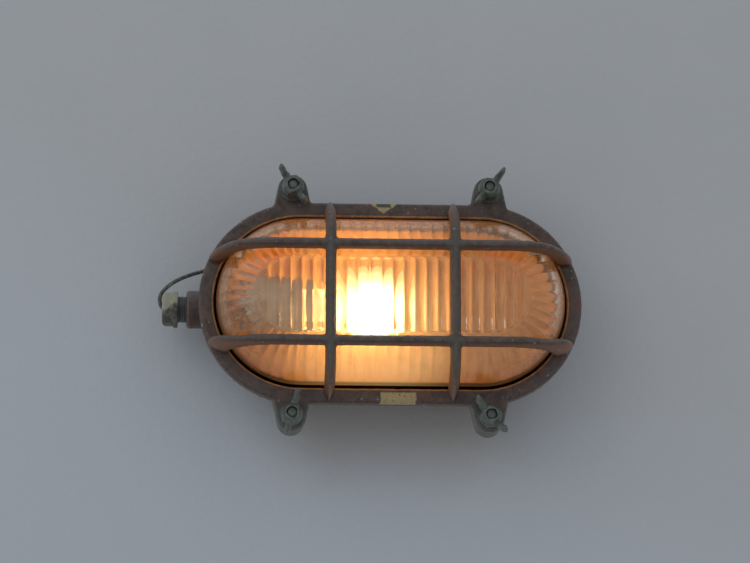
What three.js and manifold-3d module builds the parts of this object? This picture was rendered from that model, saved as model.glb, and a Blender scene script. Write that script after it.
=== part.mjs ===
// A caged bulkhead wall light: a cast dish on the wall, a reeded glass dome, and a cast guard with four bars
// that wing nuts clamp down on four studs. Millimetres, +Z up. The wall is the plane y = 0, the light stands
// out along -Y, and its long axis is X. The origin is the middle of the dish's flat back.
import * as THREE from "three";
import { mergeVertices } from "three/addons/utils/BufferGeometryUtils.js";
import Module from "manifold-3d";

const wasm = await Module();
wasm.setup();

// ---- Driving dimensions. A "depth" is measured from the wall, and a "radius" from an obround's middle line.
const FRAME_LENGTH = 290;
const FRAME_HEIGHT = 155;
const RIM_WIDTH = 11.5; // the guard's rim, seen from the front
const RIM_THICKNESS = 12;
const RIM_CHAMFER = 1.5;
const JOINT_GAP = 2; // between the dish's flange and the guard's rim, which the gasket keeps open

const DISH_DEPTH = 50;
const DISH_WALL = 5;
const DISH_FLOOR = 5;
const DISH_INSET = 13.5; // how far the dish's back edge lies inside the guard's outline
const FLANGE_THICKNESS = 8;
const FLANGE_INSET = 3.5;
const WALL_HOLE_X = 62;
const WALL_HOLE_DIAMETER = 6.5;

const GROOVE_DEPTH = 2;
const GROOVE_LIP = 0.5; // between the gasket's groove and the dish's inside
const GASKET_WIDTH = 5.4;
const GASKET_THICKNESS = 3.2;
const FIT_GAP = 0.3; // clearance between pieces that touch

const GLASS_THICKNESS = 4.5;
const GLASS_FLANGE_THICKNESS = 5;
const GLASS_FLANGE_LIP = 4.2; // how far the flange reaches under the rim
const GLASS_RIM_GAP = 1.7;
const DOME_HEIGHT = 30; // the front plateau, above the rim's face
const SKIRT_RUN = 37.8; // from the dome's neck to the plateau's edge, across the short way
const PLATEAU_EXTRA = 7.5; // how much longer the plateau's straight part is than the frame's, at each end

const CREST_HEIGHT = 39.5; // the bars' outer face, above the rim's face
const BAR_DEPTH = 8;
const BAR_WIDTH = 9;
const BAR_BEVEL = 2.2;
const BAR_SHOULDER_LONG = 40; // run of a horizontal bar's rounded end
const BAR_SHOULDER_SHORT = 32; // run of a vertical bar's rounded end
const UPRIGHT_BAR_X = 46.5;
const CROSS_BAR_Z = 37;
const FOOT_HEIGHT = 2; // where a bar's outer face meets the rim's outer edge

const LUG_FROM_BAR = 28; // from the middle of an upright bar to the stud's axis, so that the wings clear it
const LUG_REACH = 10.6; // from the frame's edge to the stud's axis
const LUG_RADIUS = 11.2;
const LUG_ROOT = 15; // half of a lug's width where it leaves the rim
const DISH_LUG_RADIUS = 10.5;
const DISH_LUG_THICKNESS = 14;

const STUD_DIAMETER = 7.8;
const STUD_END = 15.5; // past the rim's face
const STUD_CHAMFER = 1.2;
const HOLE_CLEARANCE = 0.5; // on the radius, round a stud
const WASHER_DIAMETER = 20;
const WASHER_THICKNESS = 1.6;
const HUB_DIAMETER = 16;
const HUB_TOP_DIAMETER = 12.6;
const HUB_HEIGHT = 10.5;
const WING_RADIUS = 18.5;
const WING_HEIGHT = 20;
const WING_THICKNESS = 3;
// Each corner's place, and the angle its wings were left at, in degrees from +X towards +Z.
const CORNERS = [
  { key: "tl", x: -1, z: 1, wings: 125 },
  { key: "tr", x: 1, z: 1, wings: 51 },
  { key: "bl", x: -1, z: -1, wings: 75 },
  { key: "br", x: 1, z: -1, wings: 130 },
];

const GLAND_DEPTH = 32; // the gland's axis, from the wall
const BOSS_WALL = 3.95; // round the gland's thread
const BOSS_REACH = 19; // past the dish's left end
const GLAND_THREAD_DIAMETER = 20.5;
const GLAND_BORE_DIAMETER = 9;
const GLAND_NECK = 6.3; // thread seen between boss and nut
const GLAND_IN_BOSS = 15;
const GLAND_NUT_SIDE = 2.35; // the nut's wall, round the thread
const GLAND_COLLAR_STEP = 1.1; // how far the nut's collar stands out
const GLAND_COLLAR = 3.2;
const SPANNER_SLOT_WIDTH = 4;
const SPANNER_SLOT_DEPTH = 1.4;
const GLAND_NUT_LENGTH = 12;
const GLAND_NUT_WALL = 2.4;
const GLAND_NUT_HOLE_DIAMETER = 13;
const SEAL_DIAMETER = 14;
const SEAL_LENGTH = 5;
const SLIP_WASHER_THICKNESS = 1.4;
const SLIP_WASHER_HOLE = 6;

const LEAD_DIAMETER = 3;
const LEAD_SIDES = 8;
const LEAD_STRIPPED = 6; // how far the lead's sheath reaches into the dish
const WIRE_DIAMETER = 1.8;

const LAMP_DEPTH = 50; // the lamp's axis, from the wall
const HOLDER_FROM_WALL = 24; // from the dish's inner left end to the holder's back
const HOLDER_LENGTH = 45;
const HOLDER_DIAMETER = 43;
const SOCKET_DEPTH = 29;
const SHELL_THICKNESS = 0.5;
const CAP_DIAMETER = 26.4;
const CAP_LENGTH = 24;
const CAP_WALL = 0.8;
const TIP_DIAMETER = 9;
const TIP_LENGTH = 2.5;
const BULB_DIAMETER = 60;
const BULB_LENGTH = 105; // from the contact tip to the top of the glass
const BULB_NECK_DIAMETER = 24;
const BULB_WALL = 0.8;
const STEM_DIAMETER = 6;
const FILAMENT_SPAN = 26;
const NIPPLE_DIAMETER = 10;
const NIPPLE_LENGTH = 8;
const LOCK_NUT_DIAMETER = 16;
const LOCK_NUT_THICKNESS = 3;
const BRACKET_WIDTH = 20;
const BRACKET_THICKNESS = 2;
const BRACKET_FOOT = 34;
const BRACKET_SCREW_SPACING = 12;
const SCREW_DIAMETER = 4;
const SCREW_HEAD_DIAMETER = 7.4;
const SCREW_HEAD_HEIGHT = 2.4;
const TERMINAL_OFFSET = 15; // of each terminal from the holder's axis, along Z

const ARC_STEPS = 16; // facets on half a turn of the large outlines
const ROUND_STEPS = 20; // facets on a full turn of the small round pieces

// ---- Sizes that follow from the ones above.
const frameRadius = FRAME_HEIGHT / 2;
const halfStraight = (FRAME_LENGTH - FRAME_HEIGHT) / 2;
const rimBack = DISH_DEPTH + JOINT_GAP;
const rimFace = rimBack + RIM_THICKNESS;
const openingRadius = frameRadius - RIM_WIDTH;
const domeRadius = openingRadius - GLASS_RIM_GAP;
const glassFlangeRadius = openingRadius + GLASS_FLANGE_LIP;
const glassBack = DISH_DEPTH - GROOVE_DEPTH + FIT_GAP + GASKET_THICKNESS + FIT_GAP;
const lugX = UPRIGHT_BAR_X + LUG_FROM_BAR;
const outlineZAtLug = (radius) => Math.sqrt(radius ** 2 - Math.max(lugX - halfStraight, 0) ** 2);
const lugZ = outlineZAtLug(frameRadius) + LUG_REACH;
const holeRadius = STUD_DIAMETER / 2 + HOLE_CLEARANCE;
const grooveOuter = glassFlangeRadius + FIT_GAP;
const grooveInner = grooveOuter - GASKET_WIDTH - 2 * FIT_GAP;
const dishBackRadius = frameRadius - DISH_INSET;
const dishInnerRadius = grooveInner - GROOVE_LIP;
const dishNeckRadius = dishInnerRadius + DISH_WALL;
const flangeBack = DISH_DEPTH - FLANGE_THICKNESS;

// ---- Materials.
const metal = (color, roughness) => new THREE.MeshStandardMaterial({ color, roughness, metalness: 0.8 });
const plain = (color, roughness) => new THREE.MeshStandardMaterial({ color, roughness, metalness: 0 });
const agedBronze = metal(0x51423b, 0.7);
const verdigris = metal(0x46504b, 0.75);
const greyPaint = plain(0x6f7069, 0.8);
const brass = metal(0xb0883f, 0.4);
const steel = metal(0x9a9a98, 0.45);
const rubber = plain(0x1b1a19, 0.9);
const porcelain = plain(0xe6e0d2, 0.3);
const pvc = plain(0x9d9a8f, 0.6);
const lampGlass = plain(0xfff1d6, 0.1);
const domeGlass = new THREE.MeshStandardMaterial({
  color: 0xe0a866,
  roughness: 0.15,
  metalness: 0,
  transparent: true,
  opacity: 0.5,
});

// ---- Solids and their placing.
// A closed geometry as a solid, with its shared corners merged and its collapsed triangles dropped.
function solid(geometry) {
  const bare = geometry.clone();
  bare.deleteAttribute("normal");
  bare.deleteAttribute("uv");
  const merged = mergeVertices(bare, 1e-4);
  const corners = merged.index.array;
  const kept = [];
  for (let i = 0; i < corners.length; i += 3) {
    const [a, b, c] = [corners[i], corners[i + 1], corners[i + 2]];
    if (a !== b && b !== c && c !== a) kept.push(a, b, c);
  }
  return new wasm.Manifold(
    new wasm.Mesh({
      numProp: 3,
      vertProperties: Float32Array.from(merged.attributes.position.array),
      triVerts: Uint32Array.from(kept),
    }),
  );
}

const join = (...solids) => solids.reduce((all, s) => all.add(s));
const cut = (body, ...tools) => tools.reduce((left, s) => left.subtract(s), body);

const root = new THREE.Group();

// Adds one named piece: a solid, or a geometry that is already closed.
function piece(name, shape, material, parent = root) {
  let geometry = shape;
  if (!shape.isBufferGeometry) {
    const { vertProperties, triVerts } = shape.getMesh();
    geometry = new THREE.BufferGeometry();
    geometry.setAttribute("position", new THREE.BufferAttribute(vertProperties, 3));
    geometry.setIndex(new THREE.BufferAttribute(triVerts, 1));
    geometry.computeVertexNormals();
  }
  const mesh = new THREE.Mesh(geometry, material);
  mesh.name = name;
  parent.add(mesh);
  return mesh;
}

// A profile of [radius, depth, straight half-length] rows carried round an obround. The profile closes on
// itself, or starts and ends on the middle line, where the radius is 0.
function obroundGeometry(profile) {
  const around = [];
  for (const side of [1, -1])
    for (let i = 0; i <= ARC_STEPS; i++) {
      const angle = Math.PI * (i / ARC_STEPS - 0.5) + (side > 0 ? 0 : Math.PI);
      around.push({ side, cos: Math.cos(angle), sin: Math.sin(angle) });
    }
  const positions = [];
  for (const [radius, depth, straight = halfStraight] of profile)
    for (const { side, cos, sin } of around)
      positions.push(side * straight + radius * cos, -depth, radius * sin);
  const index = [];
  const count = around.length;
  profile.forEach(([radius], row) => {
    const next = (row + 1) % profile.length;
    if (radius === 0 && profile[next][0] === 0) return;
    for (let i = 0; i < count; i++) {
      const [a, b] = [row * count + i, row * count + ((i + 1) % count)];
      const [c, d] = [next * count + i, next * count + ((i + 1) % count)];
      index.push(a, b, d, a, d, c);
    }
  });
  const geometry = new THREE.BufferGeometry();
  geometry.setAttribute("position", new THREE.Float32BufferAttribute(positions, 3));
  geometry.setIndex(index);
  return geometry;
}

// A profile of [radius, distance] rows turned about an axis along -Y ("out") or along X ("along").
function turned(profile, steps = ROUND_STEPS) {
  return new THREE.LatheGeometry(
    profile.map(([radius, distance]) => new THREE.Vector2(radius, distance)),
    steps,
  );
}
const out = (geometry) => geometry.rotateX(Math.PI);
const along = (geometry) => geometry.rotateZ(-Math.PI / 2);

const rod = (radius, from, to, steps) => turned([[0, from], [radius, from], [radius, to], [0, to]], steps);
const tube = (inner, outer, from, to, steps) =>
  turned([[inner, from], [outer, from], [outer, to], [inner, to], [inner, from]], steps);

// A shape drawn in the front view, X across and Z up, thickened from one depth to another.
function plate(shape, fromDepth, toDepth) {
  return new THREE.ExtrudeGeometry(shape, { depth: toDepth - fromDepth, bevelEnabled: false, curveSegments: 10 })
    .rotateX(Math.PI / 2)
    .translate(0, -fromDepth, 0);
}

// A lug's outline: a round end about the stud, and straight sides that spread to the rim.
function lugShape(radius, sideX, sideZ) {
  const rootZ = outlineZAtLug(frameRadius - RIM_WIDTH / 2) - lugZ;
  const reach = Math.hypot(LUG_ROOT, rootZ);
  const tangent = Math.atan2(rootZ, LUG_ROOT) + Math.acos(radius / reach);
  const shape = new THREE.Shape();
  shape.moveTo(LUG_ROOT, rootZ);
  shape.lineTo(radius * Math.cos(tangent), radius * Math.sin(tangent));
  shape.absarc(0, 0, radius, tangent, Math.PI - tangent, false);
  shape.lineTo(-LUG_ROOT, rootZ);
  const placed = shape.getPoints(10).map((p) => new THREE.Vector2(p.x + sideX * lugX, sideZ * (p.y + lugZ)));
  return new THREE.Shape(placed);
}

const atCorner = (geometry, { x, z }) => geometry.translate(x * lugX, 0, z * lugZ);
const studHole = (corner) => solid(atCorner(out(rod(holeRadius, 0, rimFace * 2)), corner));

// ---- Dish: floor, leaning wall, flange with the gasket's groove, four lugs and the gland's boss.
const wallRadiusAt = (depth) =>
  dishBackRadius + ((dishNeckRadius - dishBackRadius) * depth) / flangeBack;
const dishShell = solid(
  obroundGeometry([
    [0, 0],
    [dishBackRadius, 0],
    [dishNeckRadius, flangeBack],
    [frameRadius - FLANGE_INSET, flangeBack],
    [frameRadius - FLANGE_INSET, DISH_DEPTH],
    [grooveOuter, DISH_DEPTH],
    [grooveOuter, DISH_DEPTH - GROOVE_DEPTH],
    [grooveInner, DISH_DEPTH - GROOVE_DEPTH],
    [grooveInner, DISH_DEPTH],
    [dishInnerRadius, DISH_DEPTH],
    [dishBackRadius - DISH_WALL, DISH_FLOOR],
    [0, DISH_FLOOR],
  ]),
);
const insideDish = solid(
  obroundGeometry([
    [0, DISH_FLOOR],
    [dishBackRadius - DISH_WALL, DISH_FLOOR],
    [dishInnerRadius, DISH_DEPTH],
    [0, DISH_DEPTH],
  ]),
);
const gasketSeat = solid(
  obroundGeometry([
    [grooveInner, DISH_DEPTH - GROOVE_DEPTH],
    [grooveOuter, DISH_DEPTH - GROOVE_DEPTH],
    [grooveOuter, rimFace],
    [grooveInner, rimFace],
  ]),
);
const leftEnd = -(halfStraight + wallRadiusAt(GLAND_DEPTH)); // the dish's outer wall at the gland's axis
const innerLeft = leftEnd + DISH_WALL;
const bossEnd = leftEnd - BOSS_REACH;
const onGlandAxis = (geometry) => solid(geometry.translate(0, -GLAND_DEPTH, 0));
const glandBore = GLAND_THREAD_DIAMETER / 2 + FIT_GAP;
const boss = onGlandAxis(along(rod(glandBore + BOSS_WALL, bossEnd, innerLeft + DISH_WALL)));
const bossBore = onGlandAxis(along(rod(glandBore, bossEnd - 1, bossEnd + GLAND_IN_BOSS + FIT_GAP)));
const leadWay = onGlandAxis(along(rod(GLAND_BORE_DIAMETER / 2, bossEnd, innerLeft + 3 * DISH_WALL)));
const wallHoles = [-1, 1].map((side) =>
  solid(out(rod(WALL_HOLE_DIAMETER / 2, -1, DISH_FLOOR + 1)).translate(side * WALL_HOLE_X, 0, 0)),
);
const dishLugs = CORNERS.map(({ x, z }) =>
  solid(plate(lugShape(DISH_LUG_RADIUS, x, z), DISH_DEPTH - DISH_LUG_THICKNESS, DISH_DEPTH)),
);

// ---- Lamp's places along X, from the dish's left end.
const holderBack = innerLeft + HOLDER_FROM_WALL;
const holderMouth = holderBack + HOLDER_LENGTH;
const socketFloor = holderMouth - SOCKET_DEPTH;
const bracketBack = holderBack - FIT_GAP - BRACKET_THICKNESS;
const lockNutBack = bracketBack - FIT_GAP - LOCK_NUT_THICKNESS;
const bracketScrewX = holderBack + BRACKET_FOOT / 2;
const bracketScrews = [
  { name: "holder_screw_top", z: BRACKET_SCREW_SPACING / 2 },
  { name: "holder_screw_bottom", z: -BRACKET_SCREW_SPACING / 2 },
];
const screwShank = DISH_FLOOR - 1;
const screwHoles = bracketScrews.map(({ z }) =>
  solid(out(rod(SCREW_DIAMETER / 2 + FIT_GAP, 0.8, rimBack)).translate(bracketScrewX, 0, z)),
);

piece(
  "base_housing",
  cut(
    join(
      dishShell,
      cut(join(boss, ...dishLugs), insideDish, gasketSeat),
    ),
    bossBore,
    leadWay,
    ...wallHoles,
    ...screwHoles,
    ...CORNERS.map(studHole),
  ),
  agedBronze,
);

// ---- Gasket in the flange's groove, and the glass dome that rests on it.
const gasketBack = DISH_DEPTH - GROOVE_DEPTH + FIT_GAP;
piece(
  "glass_gasket",
  solid(
    obroundGeometry([
      [grooveInner + FIT_GAP, gasketBack],
      [grooveOuter - FIT_GAP, gasketBack],
      [grooveOuter - FIT_GAP, gasketBack + GASKET_THICKNESS],
      [grooveInner + FIT_GAP, gasketBack + GASKET_THICKNESS],
    ]),
  ),
  rubber,
);

// The dome's skirt is a curve from the neck to the plateau's edge: its radius, its depth and how long its
// straight part is, for a share of the way up. The inner face is the same curve, set in by the thickness.
const glassFlangeFront = glassBack + GLASS_FLANGE_THICKNESS;
const plateauRadius = domeRadius - SKIRT_RUN;
function skirt(share, setIn) {
  const [low, mid, high] = [(1 - share) ** 2, 2 * share * (1 - share), share ** 2];
  const radius = low * domeRadius + mid * (domeRadius - 0.12 * SKIRT_RUN) + high * plateauRadius;
  const height = low * 0.06 * DOME_HEIGHT + mid * 0.78 * DOME_HEIGHT + high * DOME_HEIGHT;
  const lean = share * Math.PI * 0.5;
  return [
    radius - setIn * Math.cos(lean),
    rimFace + height - setIn * Math.sin(lean),
    halfStraight + PLATEAU_EXTRA * share,
  ];
}
const upSkirt = [0, 0.2, 0.4, 0.6, 0.8, 1];
piece(
  "glass_dome",
  solid(
    obroundGeometry([
      [glassFlangeRadius, glassBack],
      [glassFlangeRadius, glassFlangeFront],
      [domeRadius, glassFlangeFront],
      ...upSkirt.map((share) => skirt(share, 0)),
      [0, rimFace + DOME_HEIGHT, halfStraight + PLATEAU_EXTRA],
      [0, rimFace + DOME_HEIGHT - GLASS_THICKNESS, halfStraight + PLATEAU_EXTRA],
      ...upSkirt.toReversed().map((share) => skirt(share, GLASS_THICKNESS)),
      [domeRadius - GLASS_THICKNESS, glassBack],
    ]),
  ),
  domeGlass,
);

// ---- Guard: rim with a rebate for the glass's flange, four lugs and four bars, in one casting.
const rebateRadius = glassFlangeRadius + 2 * FIT_GAP;
const rebateFront = glassFlangeFront + FIT_GAP;
const rim = solid(
  obroundGeometry([
    [rebateRadius, rimBack],
    [frameRadius, rimBack],
    [frameRadius, rimFace - RIM_CHAMFER],
    [frameRadius - RIM_CHAMFER, rimFace],
    [openingRadius + RIM_CHAMFER, rimFace],
    [openingRadius, rimFace - RIM_CHAMFER],
    [openingRadius, rebateFront],
    [rebateRadius, rebateFront],
  ]),
);
const frameOutline = solid(
  obroundGeometry([
    [0, rimBack],
    [frameRadius, rimBack],
    [frameRadius, rimFace + 2 * CREST_HEIGHT],
    [0, rimFace + 2 * CREST_HEIGHT],
  ]),
);
const throughGlass = solid(
  obroundGeometry([
    [0, rimBack],
    [openingRadius, rimBack],
    [openingRadius, rimFace],
    [0, rimFace],
  ]),
);

// A bar seen from its side: outer face from the rim's outer edge over the crest and back, and the inner face
// that springs from the rim's opening.
function barShape(outerFoot, innerFoot, shoulder) {
  const shape = new THREE.Shape();
  const innerCrest = CREST_HEIGHT - BAR_DEPTH;
  const innerShoulder = shoulder - BAR_DEPTH / 2;
  shape.moveTo(outerFoot, -RIM_THICKNESS / 3);
  shape.lineTo(outerFoot, FOOT_HEIGHT);
  shape.absellipse(
    outerFoot - shoulder, FOOT_HEIGHT, shoulder, CREST_HEIGHT - FOOT_HEIGHT, 0, Math.PI / 2, false, 0);
  shape.absellipse(
    shoulder - outerFoot, FOOT_HEIGHT, shoulder, CREST_HEIGHT - FOOT_HEIGHT, Math.PI / 2, Math.PI, false, 0);
  shape.lineTo(-outerFoot, -RIM_THICKNESS / 3);
  shape.lineTo(-innerFoot, -RIM_THICKNESS / 3);
  shape.absellipse(innerShoulder - innerFoot, 0, innerShoulder, innerCrest, Math.PI, Math.PI / 2, true, 0);
  shape.absellipse(innerFoot - innerShoulder, 0, innerShoulder, innerCrest, Math.PI / 2, 0, true, 0);
  shape.lineTo(innerFoot, -RIM_THICKNESS / 3);
  return shape;
}

function barGeometry(shape) {
  return new THREE.ExtrudeGeometry(shape, {
    depth: BAR_WIDTH - 2 * BAR_BEVEL,
    bevelThickness: BAR_BEVEL,
    bevelSize: BAR_BEVEL,
    bevelOffset: -BAR_BEVEL,
    bevelSegments: 1,
    curveSegments: 6,
  }).translate(0, 0, BAR_BEVEL - BAR_WIDTH / 2);
}

const edgeX = (radius, z) => halfStraight + Math.sqrt(radius ** 2 - z ** 2);
const sideways = new THREE.Matrix4().makeBasis(
  new THREE.Vector3(0, 0, 1), new THREE.Vector3(0, -1, 0), new THREE.Vector3(1, 0, 0));
const crossBarShape = barShape(
  edgeX(frameRadius, CROSS_BAR_Z), edgeX(openingRadius, CROSS_BAR_Z), BAR_SHOULDER_LONG);
const uprightBarShape = barShape(frameRadius, openingRadius, BAR_SHOULDER_SHORT);
const bars = [-1, 1].flatMap((side) => [
  barGeometry(crossBarShape).rotateX(Math.PI).translate(0, -rimFace, side * CROSS_BAR_Z),
  barGeometry(uprightBarShape).applyMatrix4(sideways).translate(side * UPRIGHT_BAR_X, -rimFace, 0),
]);
const guardLugs = CORNERS.map(({ x, z }) => solid(plate(lugShape(LUG_RADIUS, x, z), rimBack, rimFace)));
const rebate = solid(
  obroundGeometry([
    [0, rimBack - 1],
    [rebateRadius, rimBack - 1],
    [rebateRadius, rebateFront],
    [0, rebateFront],
  ]),
);
piece(
  "guard",
  cut(
    join(
      rim,
      ...bars.map((bar) => cut(solid(bar).intersect(frameOutline), throughGlass)),
      ...guardLugs.map((lug) => cut(lug, throughGlass, rebate)),
    ),
    ...CORNERS.map(studHole),
  ),
  agedBronze,
);

// ---- Studs, washers and wing nuts, one set at each corner.
const washerBack = rimFace + FIT_GAP;
const nutBack = washerBack + WASHER_THICKNESS + FIT_GAP;
const studBack = DISH_DEPTH - DISH_LUG_THICKNESS - 1;
const studFront = rimFace + STUD_END;
function wingShape() {
  const shape = new THREE.Shape();
  shape.moveTo(HUB_TOP_DIAMETER / 4, 1);
  shape.lineTo(HUB_DIAMETER / 2, 1);
  shape.quadraticCurveTo(WING_RADIUS * 0.93, WING_HEIGHT * 0.2, WING_RADIUS, WING_HEIGHT * 0.68);
  shape.quadraticCurveTo(WING_RADIUS, WING_HEIGHT, WING_RADIUS * 0.83, WING_HEIGHT);
  shape.quadraticCurveTo(WING_RADIUS * 0.66, WING_HEIGHT, WING_RADIUS * 0.58, WING_HEIGHT * 0.72);
  shape.quadraticCurveTo(HUB_TOP_DIAMETER * 0.7, HUB_HEIGHT, HUB_TOP_DIAMETER / 4, HUB_HEIGHT - 0.5);
  return shape;
}
const wing = new THREE.ExtrudeGeometry(wingShape(), {
  depth: WING_THICKNESS,
  bevelEnabled: false,
  curveSegments: 4,
}).translate(0, 0, -WING_THICKNESS / 2);
const hub = turned([[0, 0], [HUB_DIAMETER / 2, 0], [HUB_DIAMETER / 2, 2], [HUB_TOP_DIAMETER / 2, HUB_HEIGHT],
  [0, HUB_HEIGHT]]);
const wingNut = cut(
  join(solid(hub), solid(wing), solid(wing.clone().rotateY(Math.PI))),
  solid(rod(holeRadius, -1, HUB_HEIGHT + 1)),
);
for (const corner of CORNERS) {
  const place = new THREE.Group();
  place.position.set(corner.x * lugX, 0, corner.z * lugZ);
  root.add(place);
  const radius = STUD_DIAMETER / 2;
  piece(
    `stud_${corner.key}`,
    out(turned([[0, studBack], [radius, studBack], [radius, studFront - STUD_CHAMFER],
      [radius - STUD_CHAMFER, studFront], [0, studFront]])),
    verdigris,
    place,
  );
  piece(
    `nut_washer_${corner.key}`,
    out(tube(holeRadius, WASHER_DIAMETER / 2, washerBack, washerBack + WASHER_THICKNESS)),
    verdigris,
    place,
  );
  const nut = piece(`wing_nut_${corner.key}`, wingNut, verdigris, place);
  // Upside down about X, so the nut's axis points out along -Y, then turned to the angle it was left at.
  nut.rotation.set(Math.PI, -THREE.MathUtils.degToRad(corner.wings), 0, "YXZ");
  nut.position.y = -nutBack;
}

// ---- Cable gland: threaded body, rubber seal, slip washer and nut, in a line along X.
const glandInner = bossEnd + GLAND_IN_BOSS;
const nutStart = bossEnd - GLAND_NECK;
const nutEnd = nutStart - GLAND_NUT_LENGTH;
const nutSeat = nutEnd + GLAND_NUT_WALL;
const washerSeat = nutSeat + FIT_GAP;
const sealFront = washerSeat + SLIP_WASHER_THICKNESS + FIT_GAP;
const sealBack = sealFront + SEAL_LENGTH;
const glandFront = sealFront - FIT_GAP;
const sealBore = SEAL_DIAMETER / 2 + FIT_GAP;
const glandGroup = new THREE.Group();
glandGroup.position.y = -GLAND_DEPTH;
root.add(glandGroup);
piece(
  "gland_body",
  along(turned([
    [GLAND_BORE_DIAMETER / 2, glandInner],
    [GLAND_BORE_DIAMETER / 2, sealBack + FIT_GAP],
    [sealBore, sealBack + FIT_GAP],
    [sealBore, glandFront],
    [GLAND_THREAD_DIAMETER / 2, glandFront],
    [GLAND_THREAD_DIAMETER / 2, glandInner],
    [GLAND_BORE_DIAMETER / 2, glandInner],
  ])),
  verdigris,
  glandGroup,
);
piece(
  "gland_seal",
  along(tube(LEAD_DIAMETER / 2 + FIT_GAP, SEAL_DIAMETER / 2, sealFront, sealBack)),
  rubber,
  glandGroup,
);
piece(
  "gland_washer",
  along(tube(SLIP_WASHER_HOLE / 2, SEAL_DIAMETER / 2, washerSeat, washerSeat + SLIP_WASHER_THICKNESS)),
  brass,
  glandGroup,
);
// The nut is round, with a collar towards the boss and a spanner slot across its end.
const nutRadius = glandBore + GLAND_NUT_SIDE;
const collarRadius = nutRadius + GLAND_COLLAR_STEP;
const spannerSlot = new THREE.BoxGeometry(2 * SPANNER_SLOT_DEPTH, SPANNER_SLOT_WIDTH, 2 * nutRadius)
  .translate(nutEnd, 0, 0);
piece(
  "gland_nut",
  cut(
    solid(along(turned([
      [0, nutEnd],
      [nutRadius * 0.72, nutEnd],
      [nutRadius * 0.94, nutEnd + 1.4],
      [nutRadius, nutEnd + 4],
      [nutRadius, nutStart - GLAND_COLLAR],
      [collarRadius, nutStart - GLAND_COLLAR],
      [collarRadius, nutStart],
      [0, nutStart],
    ]))),
    solid(along(rod(glandBore, nutSeat, nutStart + 1))),
    solid(along(rod(GLAND_NUT_HOLE_DIAMETER / 2, nutEnd - 1, nutSeat + 1))),
    solid(spannerSlot),
  ),
  greyPaint,
  glandGroup,
);

// ---- Cable and wires.
// A round section carried along points; it bends only where the points say.
function cable(points, radius, steps, sides) {
  const section = new THREE.Shape();
  for (let i = 0; i <= sides; i++) {
    const angle = (2 * Math.PI * i) / sides;
    const at = [radius * Math.cos(angle), radius * Math.sin(angle)];
    if (i === 0) section.moveTo(...at);
    else section.lineTo(...at);
  }
  const extrudePath = new THREE.CatmullRomCurve3(points.map((p) => new THREE.Vector3(...p)));
  return new THREE.ExtrudeGeometry(section, { steps, extrudePath });
}

// The supply lead leaves the gland, turns up round the nut's end and runs back over the boss to the wall.
const LEAD_ROUTE = [
  [-150, -32, 0],
  [-156, -32, 0],
  [-162, -32, 0],
  [-168.3, -32, 0],
  [-171.3, -32, 0.8],
  [-173.5, -32, 3],
  [-174.3, -32, 6],
  [-174.2, -32.2, 9.6],
  [-172.6, -32.6, 13.3],
  [-169.2, -33, 16.9],
  [-164.6, -33, 20.6],
  [-159.4, -32, 23.9],
  [-154, -30, 26.7],
  [-148.6, -27, 29.4],
  [-143.4, -22.6, 32],
  [-139, -17.4, 34.8],
  [-135.4, -11.8, 38],
  [-132.6, -6.4, 41.4],
  [-131, -1.6, 44.4],
];
piece("supply_lead", cable(LEAD_ROUTE, LEAD_DIAMETER / 2, 34, LEAD_SIDES), pvc);

const leadInnerEnd = innerLeft + LEAD_STRIPPED;
const leadJoin = LEAD_ROUTE[0][0] + FIT_GAP;
piece(
  "lead_tail",
  along(rod(LEAD_DIAMETER / 2, leadJoin, leadInnerEnd, LEAD_SIDES)),
  pvc,
  glandGroup,
);
const terminalX = holderBack - FIT_GAP;
const terminals = [
  { name: "live", z: TERMINAL_OFFSET, color: plain(0x5b3a25, 0.5) },
  { name: "neutral", z: -TERMINAL_OFFSET, color: plain(0x2f4f7d, 0.5) },
];
for (const { name, z, color } of terminals) {
  const side = Math.sign(z);
  const start = new THREE.Vector3(leadInnerEnd + FIT_GAP + 0.4, -GLAND_DEPTH, side * 1.2);
  const screwFront = terminalX - SCREW_HEAD_HEIGHT;
  const route = [
    start.toArray(),
    [start.x + 2, start.y - 0.5, side * 2.4],
    [start.x + 4.5, start.y - 4, side * 8],
    [screwFront - 4.5, (start.y - LAMP_DEPTH) / 2, z * 0.95],
    [screwFront - 3.4, 4 - LAMP_DEPTH, z],
    [screwFront - FIT_GAP - WIRE_DIAMETER / 2, -LAMP_DEPTH, z],
  ];
  piece(`${name}_wire`, cable(route, WIRE_DIAMETER / 2, 12, LEAD_SIDES), color);
  piece(
    `terminal_screw_${name}`,
    along(rod(SCREW_HEAD_DIAMETER / 2, terminalX - SCREW_HEAD_HEIGHT, terminalX, 12))
      .translate(0, -LAMP_DEPTH, z),
    brass,
  );
}

// ---- Lampholder on its bracket.
const shellOuter = CAP_DIAMETER / 2 + FIT_GAP + SHELL_THICKNESS;
const socketRadius = shellOuter + FIT_GAP;
const lampGroup = new THREE.Group();
lampGroup.position.y = -LAMP_DEPTH;
root.add(lampGroup);
piece(
  "lampholder_body",
  along(turned([
    [0, holderBack - NIPPLE_LENGTH],
    [NIPPLE_DIAMETER / 2, holderBack - NIPPLE_LENGTH],
    [NIPPLE_DIAMETER / 2, holderBack],
    [HOLDER_DIAMETER / 2, holderBack],
    [HOLDER_DIAMETER / 2, holderMouth - 12],
    [HOLDER_DIAMETER / 2 - 2, holderMouth - 10],
    [HOLDER_DIAMETER / 2 - 2, holderMouth],
    [socketRadius, holderMouth],
    [socketRadius, socketFloor],
    [0, socketFloor],
  ])),
  porcelain,
  lampGroup,
);
const shellBack = socketFloor + FIT_GAP;
piece(
  "lampholder_shell",
  along(tube(shellOuter - SHELL_THICKNESS, shellOuter, shellBack + 4, holderMouth - 2)),
  brass,
  lampGroup,
);
const tipBack = socketFloor + FIT_GAP + 1 + FIT_GAP;
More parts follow.
